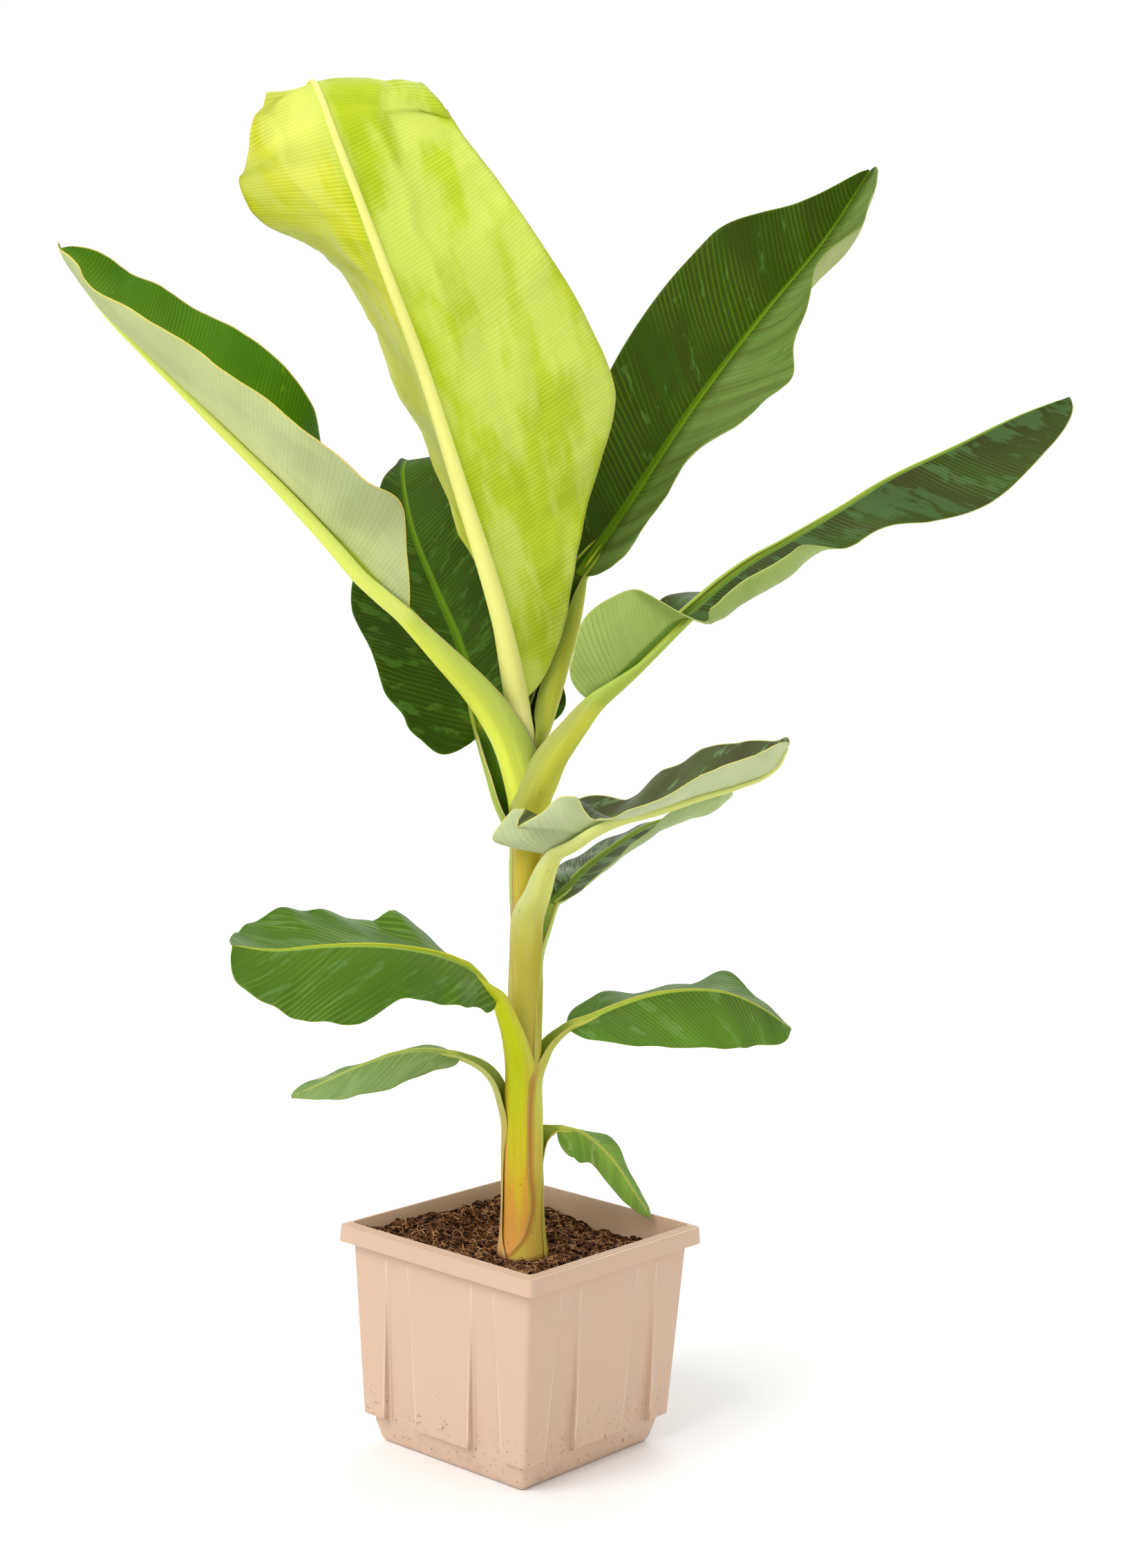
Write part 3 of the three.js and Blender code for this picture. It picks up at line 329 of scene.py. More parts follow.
# Colours of each blade. near and far are the upper side's, by the rib and by the margin, patch that of
# its mottling and dusk that of its darker streaks. back_near, back_far and back_vein are the
# underside's. veil is the colour of painted sheen on the underside, broad lighter bands that stand in
# for glossy highlights and show as strongly as banded. right is another colour of the right half, on
# the upper side where turned_up is true and underneath where it is false.
# groove is the rib's and edge the margin's, which is hem millimetres wide. mottle is how much of the
# blade is mottled, veins how strong the side veins show, spacing how far apart they are in metres and
# gloss how much it shines.
VEIN_SPACING = 0.0042
SMALL_LEAF_BACK = dict(
    back_near=(0.36, 0.44, 0.18), back_far=(0.30, 0.38, 0.14), back_vein=(0.24, 0.32, 0.10))
LOOKS = {
    "01": dict(
        near=(0.52, 0.60, 0.04), far=(0.44, 0.55, 0.03), right=(0.84, 0.80, 0.04), turned_up=False,
        patch=(0.60, 0.68, 0.14), dusk=(0.38, 0.50, 0.01), back_near=(0.52, 0.65, 0.010),
        back_far=(0.56, 0.68, 0.03), back_vein=(0.30, 0.45, 0.002), sheen_colour=(0.76, 0.84, 0.20), sheen_strength=0.5,
        groove=(0.66, 0.68, 0.10), edge=(0.66, 0.60, 0.16), hem=0.8, mottle=0.3, veins=0.55, gloss=0.6),
    "02": dict(
        near=(0.13, 0.30, 0.002), far=(0.06, 0.18, 0.001), patch=(0.16, 0.33, 0.004),
        dusk=(0.07, 0.20, 0.001), back_near=(0.56, 0.61, 0.24), back_far=(0.47, 0.53, 0.25),
        back_vein=(0.36, 0.44, 0.16), groove=(0.40, 0.52, 0.03), edge=(0.82, 0.66, 0.14), hem=1.6,
        mottle=0.2, veins=0.3, gloss=0.3),
    "03": dict(
        near=(0.045, 0.10, 0.001), far=(0.035, 0.085, 0.0005), right=(0.23, 0.34, 0.08), turned_up=True,
        patch=(0.085, 0.19, 0.03), dusk=(0.05, 0.05, 0.002), back_near=(0.42, 0.48, 0.14),
        back_far=(0.42, 0.48, 0.20), back_vein=(0.30, 0.38, 0.10), groove=(0.18, 0.32, 0.01),
        edge=(0.26, 0.34, 0.06), hem=0.9, mottle=0.3, veins=0.6, spacing=0.0065, gloss=0.3),
    "04": dict(
        near=(0.045, 0.10, 0.003), far=(0.028, 0.065, 0.001), patch=(0.065, 0.15, 0.015),
        dusk=(0.03, 0.05, 0.002), back_near=(0.30, 0.38, 0.14), back_far=(0.24, 0.32, 0.14),
        back_vein=(0.20, 0.28, 0.10), groove=(0.15, 0.28, 0.01), edge=(0.12, 0.22, 0.02), hem=0.8,
        mottle=0.5, veins=0.5, spacing=0.0055, gloss=0.25),
    "05": dict(
        near=(0.028, 0.055, 0.003), far=(0.045, 0.085, 0.006), patch=(0.065, 0.13, 0.035),
        dusk=(0.05, 0.035, 0.012), back_near=(0.30, 0.40, 0.09), back_far=(0.34, 0.44, 0.11),
        back_vein=(0.20, 0.30, 0.05), groove=(0.14, 0.25, 0.03), edge=(0.52, 0.56, 0.16), hem=1.0,
        mottle=0.6, veins=0.6, gloss=0.5),
    "06": dict(
        near=(0.06, 0.10, 0.02), far=(0.065, 0.085, 0.03), patch=(0.15, 0.25, 0.10),
        dusk=(0.06, 0.04, 0.025), back_near=(0.48, 0.55, 0.27), back_far=(0.50, 0.56, 0.30),
        back_vein=(0.36, 0.42, 0.18), groove=(0.30, 0.38, 0.10), edge=(0.70, 0.66, 0.20), hem=1.4,
        mottle=0.42, veins=0.6, gloss=0.6),
    "07": dict(
        near=(0.055, 0.09, 0.016), far=(0.07, 0.11, 0.024), patch=(0.18, 0.27, 0.13),
        dusk=(0.07, 0.05, 0.03), back_near=(0.40, 0.50, 0.16), back_far=(0.34, 0.44, 0.16),
        back_vein=(0.26, 0.36, 0.12), groove=(0.22, 0.34, 0.05), edge=(0.42, 0.44, 0.14), hem=0.7,
        mottle=0.65, veins=0.8, gloss=0.6),
    "08": dict(
        SMALL_LEAF_BACK, near=(0.085, 0.18, 0.008), far=(0.065, 0.155, 0.004), patch=(0.11, 0.22, 0.04),
        dusk=(0.06, 0.13, 0.008), groove=(0.34, 0.48, 0.06), edge=(0.20, 0.30, 0.03), hem=0.8, mottle=0.42,
        veins=0.5, spacing=0.009, gloss=0.55),
    "09": dict(
        SMALL_LEAF_BACK, near=(0.075, 0.16, 0.012), far=(0.085, 0.20, 0.008), patch=(0.12, 0.23, 0.045),
        dusk=(0.06, 0.12, 0.010), groove=(0.40, 0.52, 0.06), edge=(0.22, 0.30, 0.04), hem=0.8, mottle=0.42,
        veins=0.32, spacing=0.005, gloss=0.55),
    "10": dict(
        SMALL_LEAF_BACK, near=(0.20, 0.31, 0.08), far=(0.24, 0.36, 0.12), right=(0.08, 0.18, 0.012),
        turned_up=True, patch=(0.26, 0.36, 0.12), dusk=(0.15, 0.24, 0.05), groove=(0.40, 0.48, 0.14),
        edge=(0.24, 0.32, 0.05), hem=0.7, mottle=0.5, veins=0.6, spacing=0.007, gloss=0.4),
    "11": dict(
        SMALL_LEAF_BACK, near=(0.25, 0.40, 0.045), far=(0.16, 0.32, 0.03), patch=(0.28, 0.40, 0.10),
        dusk=(0.09, 0.16, 0.02), groove=(0.42, 0.52, 0.12), edge=(0.28, 0.30, 0.06), hem=0.7, mottle=0.4,
        veins=0.6, gloss=0.4),
}

# Colours of each sheath, stalk and rib: along its back, towards its sides, inside its channel and at
# its margins. low is that of the lower sheath, which sets in between the heights low_at, in metres. rib
# is that of the rib under the blade. lined is how strong pale lines show on its sides, and warm its
# share of the orange at the foot. stain is a brown margin: its colour, its reach in millimetres and the
# height in metres that it stays below.
STALK_LOOKS = {
    "01": dict(
        back=(1.0, 0.95, 0.34), side=(0.84, 0.88, 0.17), inside=(0.52, 0.62, 0.05), edge=(0.70, 0.74, 0.2),
        rib=(0.86, 0.86, 0.22)),
    "02": dict(
        back=(0.74, 0.82, 0.08), side=(0.46, 0.58, 0.11), low=(0.34, 0.22, 0.10), low_at=(0.72, 0.63),
        inside=(0.20, 0.36, 0.03), edge=(0.66, 0.52, 0.24), rib=(0.70, 0.78, 0.16)),
    "03": dict(
        back=(0.66, 0.68, 0.06), side=(0.34, 0.42, 0.05), inside=(0.05, 0.10, 0.004),
        edge=(0.50, 0.46, 0.14)),
    "04": dict(
        back=(0.44, 0.52, 0.05), side=(0.30, 0.40, 0.05), inside=(0.07, 0.16, 0.005),
        edge=(0.66, 0.54, 0.26)),
    "05": dict(
        back=(0.78, 0.80, 0.08), side=(0.36, 0.42, 0.12), low=(0.50, 0.37, 0.02), low_at=(0.73, 0.64),
        inside=(0.20, 0.30, 0.04), edge=(0.60, 0.50, 0.18), rib=(0.40, 0.54, 0.07),
        stain=((0.34, 0.18, 0.07), 2.5, 0.70)),
    "06": dict(
        back=(0.68, 0.70, 0.17), side=(0.60, 0.66, 0.26), low=(0.42, 0.32, 0.008), low_at=(0.625, 0.55),
        inside=(0.36, 0.44, 0.08), edge=(0.62, 0.40, 0.12), rib=(0.64, 0.68, 0.20), lined=0.25),
    "07": dict(
        back=(0.50, 0.64, 0.12), side=(0.48, 0.62, 0.14), low=(0.46, 0.36, 0.03), low_at=(0.57, 0.50),
        inside=(0.40, 0.54, 0.10), edge=(0.50, 0.34, 0.08)),
    "08": dict(
        back=(0.58, 0.64, 0.010), side=(0.58, 0.58, 0.05), low=(0.80, 0.54, 0.03), low_at=(0.42, 0.30),
        inside=(0.26, 0.36, 0.03), edge=(0.62, 0.40, 0.10), warm=1.2),
    "09": dict(
        back=(0.54, 0.60, 0.10), side=(0.52, 0.50, 0.08), low=(0.62, 0.62, 0.06), inside=(0.26, 0.36, 0.03),
        edge=(0.56, 0.48, 0.14), warm=0.45, stain=((0.40, 0.14, 0.03), 10.0, 0.41)),
    "10": dict(
        back=(0.54, 0.62, 0.12), side=(0.54, 0.62, 0.16), low=(0.76, 0.66, 0.38), low_at=(0.35, 0.29),
        inside=(0.30, 0.40, 0.08), edge=(0.56, 0.52, 0.18), warm=0.7,
        stain=((0.52, 0.20, 0.04), 2.0, 0.30)),
    "11": dict(
        back=(0.54, 0.60, 0.10), side=(0.48, 0.58, 0.08), low=(0.56, 0.60, 0.08), inside=(0.30, 0.40, 0.05),
        edge=(0.60, 0.40, 0.10)),
}

# Colours of small marks: pale lines, orange and spots on the sheaths, dirt on the pot, and painted highlights
# along the edges of the pot's panels.
PALE_LINE = (0.80, 0.80, 0.40)
WARM_SHEATH = (0.84, 0.40, 0.06)
WARM_FOOT = (1.0, 0.44, 0.13)
DARK_SPOT = (0.12, 0.07, 0.02)
DUST = (0.33, 0.24, 0.17)
DARK_SPECK = (0.16, 0.11, 0.08)
GRIT = (0.15, 0.10, 0.07)
PANEL_EDGE_HIGHLIGHT = (0.82, 0.66, 0.54)


# Lines and values.

def mix(a, b, f):
    return a + (b - a) * f


def clamp(x, low=0.0, high=1.0):
    return min(max(x, low), high)


def smooth(x, low, high):
    f = clamp((x - low) / (high - low))
    return f * f * (3 - 2 * f)


def value_at(stations, s):
    """The value at s of (place, value) stations, without overshoot. A plain number is constant."""
    if not isinstance(stations, (tuple, list)):
        return float(stations)
    last = len(stations) - 1
    if s <= stations[0][0]:
        return stations[0][1]
    if s >= stations[last][0]:
        return stations[last][1]

    def slope(i):
        return (stations[i + 1][1] - stations[i][1]) / (stations[i + 1][0] - stations[i][0])

    def tangent(i):
        if i == 0:
            return slope(0)
        if i == last:
            return slope(last - 1)
        before, after = slope(i - 1), slope(i)
        return 0.0 if before * after <= 0 else 2 * before * after / (before + after)

    k = max(i for i in range(last) if stations[i][0] <= s)
    span = stations[k + 1][0] - stations[k][0]
    f = (s - stations[k][0]) / span
    rise = stations[k + 1][1] - stations[k][1]
    m0, m1 = tangent(k) * span, tangent(k + 1) * span
    return stations[k][1] + m0 * f + (3 * rise - 2 * m0 - m1) * f * f + (m0 + m1 - 2 * rise) * f ** 3


def along_points(points, t):
    """The point at t, from 0 to 1, of a smooth line through points."""
    n = len(points)
    x = clamp(t) * (n - 1)
    i = min(int(x), n - 2)
    f = x - i
    p1, p2 = points[i], points[i + 1]
    p0 = points[i - 1] if i > 0 else 2 * p1 - p2
    p3 = points[i + 2] if i + 2 < n else 2 * p2 - p1
    m1, m2 = (p2 - p0) / 2, (p3 - p1) / 2
    return p1 + m1 * f + (3 * (p2 - p1) - 2 * m1 - m2) * f * f + (2 * (p1 - p2) + m1 + m2) * f ** 3


class Line:
    """A smooth line through points, followed by its length."""

    steps = 200

    def __init__(self, points):
        self.points = [Vector(p) for p in points]
        walked = [along_points(self.points, i / self.steps) for i in range(self.steps + 1)]
        self.lengths = [0.0]
        for a, b in zip(walked, walked[1:]):
            self.lengths.append(self.lengths[-1] + (b - a).length)
        self.length = self.lengths[-1]

    def share(self, u):
        """The place among the points of the length u, from 0 to 1."""
        reach = clamp(u) * self.length
        low, high = 0, self.steps
        while high - low > 1:
            middle = (low + high) // 2
            if self.lengths[middle] <= reach:
                low = middle
            else:
                high = middle
        span = self.lengths[high] - self.lengths[low]
        return (low + (reach - self.lengths[low]) / span if span else low) / self.steps

    def at(self, u):
        return along_points(self.points, self.share(u))

    def tangent(self, u):
        return (self.at(min(u + 1e-3, 1)) - self.at(max(u - 1e-3, 0))).normalized()


def square_to(tangent, way):
    """The direction nearest to way that is square to the tangent."""
    return (way - tangent * way.dot(tangent)).normalized()


def rounded(x):
    return math.sqrt(1 - (1 - clamp(x)) ** 2)


def in_pot(point):
    """A point of the plant's frame, in millimetres, where it stands in metres."""
    return PLANT @ (Vector(point) * MM)


def stem_centre(z):
    return Vector([value_at([(p[2], p[k]) for p in STEM_LINE], z) for k in (0, 1)] + [z])


# Making pieces.

def add_object(name, data):
    made = bpy.data.objects.new(name, data)
    bpy.context.scene.collection.objects.link(made)
    return made


def mesh_object(bm, name, materials):
    mesh = bpy.data.meshes.new(name)
    bm.to_mesh(mesh)
    bm.free()
    for material in materials:
        mesh.materials.append(material)
    return add_object(name, mesh)


def finish_piece(bm, name, materials, nodes=(), smooth_shading=True):
    piece = mesh_object(bm, name, materials)
    if smooth_shading:
        piece.data.shade_smooth()
    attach(piece, "root")
    if nodes:
        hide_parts(*nodes)
    return piece


def moved_grid(columns, rows, place, measure=None, marks=()):
    """A grid whose points place(s, t) moves. s runs up the rows from 0 to 1, t across from -1 to 1."""
    bm = bmesh.new()
    layer = bm.loops.layers.uv.new("metres")
    layers = [bm.verts.layers.float.new(name) for name, _ in marks]
    bmesh.ops.create_grid(bm, x_segments=columns, y_segments=rows, size=1.0)
    where = {v: ((v.co.y + 1) / 2, v.co.x) for v in bm.verts}
    if measure:
        for face in bm.faces:
            for loop in face.loops:
                loop[layer].uv = measure(*where[loop.vert])
    for v, (s, t) in where.items():
        for mark, (_, value) in zip(layers, marks):
            v[mark] = value(s, t)
        v.co = place(s, t)
    return bm


def join(bm, reach=1e-6, fill=False):
    """Join points that meet, fill the openings if asked to, and turn the faces outwards."""
    bmesh.ops.remove_doubles(bm, verts=bm.verts, dist=reach)
    if fill:
        bmesh.ops.holes_fill(bm, edges=[e for e in bm.edges if e.is_boundary], sides=0)
    bmesh.ops.recalc_face_normals(bm, faces=bm.faces)


def rib_half(leaf, s):
    """Half the width of the rib under the blade, in millimetres."""
    root = 0.95 * (leaf["channel"] + 0.28 * leaf["depth"]) * math.sin(math.radians(leaf["opening"]))
    return root * value_at(RIB_TAPER, s) ** leaf.get("taper", 1)


class Blade:
    """One leaf's blade: where its upper side runs."""

    least = 3

    def __init__(self, leaf, seed):
        self.leaf = leaf
        self.line = Line(leaf["rib"])
        self.faces = [Vector(f) for f in leaf["face"]]
        self.seed = seed
        self.rows = {}

    def row(self, s):
        """The rib's point and the directions along it, off the upper side and across."""
        key = round(s, 5)
        if key not in self.rows:
            tangent = self.line.tangent(s)
            off = square_to(tangent, along_points(self.faces, s))
            self.rows[key] = (self.line.at(s), tangent, off, tangent.cross(off))
        return self.rows[key]

    def half(self, t):
        return self.leaf["left"] if t < 0 else self.leaf["right"]

    def width(self, s, t):
        ends = rounded(s / self.leaf["base"]) * rounded((1 - s) / self.leaf["tip"])
        return max(value_at(self.half(t)["width"], s) * ends, self.least)

    def buckle(self, s, t, width):
        """How far the blade's small dents push it off its plain surface."""
        spot = Vector((s * self.line.length / 45, t * width / 45, self.seed * 7.3))
        return (3.2 * noise.noise(spot) + 1.2 * noise.noise(spot * 3.1)) * self.leaf.get("crumpled", 1)

    def crease(self, s, side, aside):
        """How far the creases of one side push the blade out at a distance from the rib."""
        out = 0
        for where, start, end, depth, far, near in self.leaf.get("creases", ()):
            if where == side:
                line = mix(near, far, (s - start) / (end - start))
                line += 9 * noise.noise(Vector((s * 16, near, 0)))
                shown = smooth(s, start, start + 0.08) * smooth(s, end, end - 0.08)
                out += depth * shown * math.exp(-abs(aside - line) / 7)
        return out

    def point(self, s, t):
        half = self.half(t)
        side, reach = (-1, -t) if t < 0 else (1, t)
        place, tangent, off, across = self.row(s)
        width = self.width(s, t)
        lift = math.radians(value_at(half["lift"], s))
        curl = math.radians(value_at(half["curl"], s)) or 1e-4
        bent = lift + curl * reach
        x = (math.sin(bent) - math.sin(lift)) / curl * width
        y = (math.cos(lift) - math.cos(bent)) / curl * width
        sweep = value_at(half.get("sweep", self.leaf["sweep"]), s) * (width - self.least) * reach ** 1.5
        ripple = sum(a * math.sin(2 * math.pi * (n * s + f)) for a, n, f in half["waves"])
        buckle = self.buckle(s, t, width) * reach ** 0.7 * (1 - 0.3 * reach)
        out = (ripple * reach ** 2 + buckle) * clamp(width / 40) + self.crease(s, side, width * reach)
        rib = rib_half(self.leaf, s)
        groove = 0.3 * rib * (1 - smooth(width * reach, 0, 0.5 * rib)) * smooth(s, 0, 0.05)
        normal = math.cos(bent) * off - math.sin(bent) * across * side
        return place + across * side * x + off * (y - groove) + tangent * sweep + normal * out


def leaf_spacing(y):
    """Rows lie closer together at the base and the tip."""
    return mix(y, 0.5 - 0.5 * math.cos(math.pi * y), 0.6)


def half_spacing(t):
    """Columns lie closer together at the rib."""
    return math.copysign(abs(t) ** 1.35, t)


def make_blade(number, leaf, materials, rows, columns):
    blade = Blade(leaf, int(number))

    def spread(s, t):
        """The place along the rib, the share of the way to the margin and the half's width there."""
        s = leaf_spacing(s)
        return s, abs(half_spacing(t)), blade.width(s, t)

    def measure(s, t):
        s, reach, width = spread(s, t)
        aside = reach * width
        return (math.copysign(aside, t) * MM, (s * blade.line.length - leaf["lean"] * aside) * MM)

    def to_margin(s, t):
        _, reach, width = spread(s, t)
        return (1 - reach) * width

    def to_rib(s, t):
        s, reach, width = spread(s, t)
        return reach * width / rib_half(leaf, s)

    bm = moved_grid(
        2 * columns, rows,
        lambda s, t: in_pot(blade.point(leaf_spacing(s), half_spacing(t))),
        measure,
        (("across", lambda s, t: spread(s, t)[1]), ("hem", to_margin), ("rib", to_rib)))
    piece = finish_piece(bm, "blade_" + number, materials,
                         ("leaf_" + number,))
    shell = piece.modifiers.new("Thickness", "SOLIDIFY")
    shell.thickness = BLADE_THICKNESS * MM
    shell.offset = -1
    shell.use_even_offset = False
    shell.material_offset = 1
    shell.material_offset_rim = 2


def stalk_stations(leaf):
    """Places up the stalk and along the rib: point, way the channel opens, inner radius, reach each
    way round it in degrees and thickness."""
    turn = math.radians(leaf["turn"])
    out = Vector((math.cos(turn), math.sin(turn), 0))
    rises = leaf["rise"] if isinstance(leaf["rise"][0], tuple) else (leaf["rise"],)
    ways = [-out] + [Vector(r).normalized() for r in rises]
    stations = []
    foot, leave = leaf["foot"], leaf["leave"]
    steps = max(3, round((leave - foot) / 28))
    for i in range(steps + 1):
        z = mix(foot, leave, i / steps)
        thick = mix(SHEATH_THICKNESS, leaf["depth"] * 0.55, smooth(z, leave - 90, leave))
        inner = value_at(leaf["radius"], z) * value_at(FLARE, z) - thick
        stations.append((stem_centre(z) + out * inner, -out, inner,
                         value_at(leaf["ccw"], z), value_at(leaf["cw"], z), thick))
    free = [Vector(p) for p in leaf["stalk"]] + [Vector(leaf["rib"][0])]
    opening = leaf["opening"]
    ends = (leaf["channel"], opening, opening, leaf["depth"])
    start = stations[-1][2:]
    for i, p in enumerate(free):
        f = (i + 1) / len(free)
        shut = leaf.get("closed", 0) * math.sqrt(math.sin(math.pi * f) if f < 1 else 0)
        inner, ccw, cw, thick = (mix(a, b, f ** leaf.get("hold", 1)) for a, b in zip(start, ends))
        stations.append((p, along_points(ways, f).normalized(), inner, ccw + shut, cw + shut, thick))
    blade = Blade(leaf, 0)
    for i in range(1, 17):
        s = 0.98 * i / 16
        point, _, off, _ = blade.row(s)
        half = rib_half(leaf, s)
        sunk = smooth(s, 0, 0.12)
        turned = ways[-1].lerp(off, clamp(s * 6)).normalized()
        values = (mix(a, b, sunk) for a, b in zip(ends, (0.5 * half, 88, 88, half)))
        stations.append((point - off * sunk * (0.4 * half + 0.4), turned, *values))
    return stations


def make_stalk(number, leaf, material):
    """The sheath, stalk and rib of one leaf as one closed body."""
    points, ways, *values = zip(*stalk_stations(leaf))
    line = Line(points)
    places = [i / (len(points) - 1) for i in range(len(points))]
    values = [list(zip(places, v)) for v in values]
    arc = 18
    wrap = 2 * arc + 2
    cache = {}

    def section(s):
        key = round(s, 5)
        if key not in cache:
            share = line.share(s)
            tangent = line.tangent(s)
            off = square_to(tangent, along_points(ways, share))
            radius, left, right, depth = (value_at(v, share) for v in values)
            cache[key] = (line.at(s), off, tangent.cross(off), radius, depth,
                          math.radians(left), math.radians(right))
        return cache[key]

    def around(s, t):
        """Whether a point is outside, its angle, the margin's angle on that side and the section."""
        *cut, left, right = section(s)
        k = round((t + 1) / 2 * wrap) % wrap
        outer = k <= arc
        angle = mix(-left, right, k / arc) if outer else mix(right, -left, (k - arc - 1) / arc)
        return outer, angle, right if angle > 0 else left, cut

    def place(s, t):
        outer, angle, end, (centre, off, across, radius, depth) = around(s, t)
        r = radius
        if outer:
            r += depth * (1 - 0.72 * (abs(angle) / end) ** 2)
            r += 0.25 * noise.noise(Vector((angle * 3, s * line.length / 60, int(number) * 3.7)))
        return in_pot(centre + off * (radius - r * math.cos(angle)) + across * r * math.sin(angle))

    def measure(s, t):
        outer, angle, _, cut = around(s, t)
        return (cut[3] * angle * MM + (0 if outer else 0.2), s * line.length * MM)

    def to_edge(s, t):
        _, angle, end, _ = around(s, t)
        return abs(angle) / end

    def to_margin(s, t):
        _, angle, end, cut = around(s, t)
        return cut[3] * (end - abs(angle))

    blade_start = 1 - Line(leaf["rib"]).length / line.length
    bm = moved_grid(wrap, int(line.length / 7), place, measure, (
        ("across", to_edge),
        ("hem", to_margin),
        ("inner", lambda s, t: 0.0 if around(s, t)[0] else 1.0),
        ("blade", lambda s, t: clamp((s - blade_start) / (1 - blade_start))),
    ))
    join(bm, fill=True)
    finish_piece(bm, "rib_" + number, [material], ("stalk_" + number,))


def make_heart(material):
    """The stem's heart, which the sheaths clasp."""

    def place(s, t):
        z = mix(HEART[0][0], HEART[-1][0], s)
        radius = 0.5 if s == 1 else value_at(HEART, z) * value_at(FLARE, z)
        angle = math.pi * t
        return in_pot(stem_centre(z) + Vector((math.cos(angle), math.sin(angle), 0)) * radius)

    marks = [(name, lambda s, t: 0.0) for name in ("across", "inner", "blade")]
    marks.append(("hem", lambda s, t: 9.0))
    bm = moved_grid(48, 60, place, lambda s, t: (0.05 * t, s * 0.55), marks)
    join(bm, fill=True)
    finish_piece(bm, "stem_heart", [material], ("stem",))


# The pot and the soil.

def wall_half(z):
    return mix(WALL_FOOT_HALF, WALL_TOP_HALF, (z - FOOT_HEIGHT) / (SKIRT_BOTTOM - FOOT_HEIGHT))


def corner_radius(z):
    return mix(CORNER_BASE, CORNER_TOP, z / POT_HEIGHT)


def inner_half(z):
    """Half width of the pot's inside, which widens to its mouth."""
    mouth = clamp((z - MOUTH_BOTTOM) / (POT_HEIGHT - 1 - MOUTH_BOTTOM))
    return mix(wall_half(clamp(z, FOOT_HEIGHT, MOUTH_BOTTOM)) - WALL, MOUTH_HALF, mouth)


def inner_radius(z):
    mouth = clamp((z - MOUTH_BOTTOM) / (POT_HEIGHT - 1 - MOUTH_BOTTOM))
    return mix(corner_radius(z) - WALL, MOUTH_CORNER, mouth)


def outline_side(z, half, radius, relief, ledge):
    """One side of the pot's outline at a level, as (along, out) pairs from corner to corner."""
    f = clamp((z - PANEL_BOTTOM) / (SKIRT_BOTTOM - PANEL_BOTTOM))
    corner, middle = mix(*CORNER_PANEL_EDGE, f), mix(*MIDDLE_PANEL_EDGE, f)
    out = half + relief
    step = half + min(ledge, relief)
    right = [(0, out), (middle * 0.5, out), (middle, out), (middle + PANEL_CHAMFER, step),
             (middle + LEDGE_WIDTH, step), (middle + LEDGE_WIDTH + 0.6, half),
             (corner - LEDGE_WIDTH - 0.6, half), (corner - LEDGE_WIDTH, step),
             (corner - PANEL_CHAMFER, step), (corner, out), (mix(corner, out - radius, 0.5), out)]
    arc = [math.radians(a) for a in (0, 9, 18, 27, 36, 45)]
    right += [(out - radius + radius * math.sin(a), out - radius + radius * math.cos(a)) for a in arc]
    return [(-x, y) for x, y in right[:0:-1]] + right


def pot_profile():
    """Rings of the pot from the middle of its underside, over the rim and down to its floor."""
    body = [
        (0, 0, 0, 0), (0, BASE_HALF - 0.8, 0, 0), (0.3, BASE_HALF, 0, 0), (1.0, BASE_HALF + 1.2, 0, 0),
        (4, BASE_HALF + 3.2, 0, 0), (9, BASE_HALF + 4.8, 0, 0), (FOOT_HEIGHT, WALL_FOOT_HALF, 0, 0),
        (PANEL_BOTTOM - 3.4, wall_half(PANEL_BOTTOM - 3.4), 0, 0),
        (PANEL_BOTTOM - 2.4, wall_half(PANEL_BOTTOM), 1.2, 0.2),
        (PANEL_BOTTOM - 0.4, wall_half(PANEL_BOTTOM), PANEL_RELIEF - 0.8, LEDGE_RELIEF),
        (PANEL_BOTTOM + 0.6, wall_half(PANEL_BOTTOM), PANEL_RELIEF, LEDGE_RELIEF),
    ]
    for i in range(1, 8):
        z = mix(PANEL_BOTTOM, SKIRT_BOTTOM - 4, i / 8)
        body.append((z, wall_half(z), PANEL_RELIEF * (1 - i / 8), LEDGE_RELIEF * (1 - i / 8)))
    top = POT_HEIGHT - 2 * RIM_STEP
    first, second = RIM_STEP_HALVES
    body += [
        (SKIRT_BOTTOM - 4, wall_half(SKIRT_BOTTOM - 4), 0, 0), (SKIRT_BOTTOM, WALL_TOP_HALF, 0, 0),
        (SKIRT_BOTTOM + 0.2, WALL_TOP_HALF + 1.5, 0, 0), (SKIRT_BOTTOM, SKIRT_HALF - 2.4, 0, 0),
        (SKIRT_BOTTOM + 0.1, SKIRT_HALF - 0.5, 0, 0), (SKIRT_BOTTOM + 0.6, SKIRT_HALF, 0, 0),
        (SKIRT_BOTTOM + 9, mix(SKIRT_HALF, RIM_HALF, 0.5), 0, 0), (top - 1.2, RIM_HALF, 0, 0),
        (top - 0.3, RIM_HALF - 0.3, 0, 0), (top, RIM_HALF - 1, 0, 0),
        (top, first + 0.3, 0, 0), (top + RIM_STEP, first - 0.5, 0, 0),
        (top + RIM_STEP, second + 0.3, 0, 0), (POT_HEIGHT, second - 0.5, 0, 0),
        (POT_HEIGHT, MOUTH_HALF + 0.9, 0, 0), (POT_HEIGHT - 0.3, MOUTH_HALF + 0.3, 0, 0),
    ]
    return body + [(z, inner_half(z), 0, 0) for z in INNER_LEVELS] + [
        (FLOOR + 0.5, WALL_FOOT_HALF - 7, 0, 0), (FLOOR, WALL_FOOT_HALF - 8, 0, 0), (FLOOR, 0, 0, 0)]


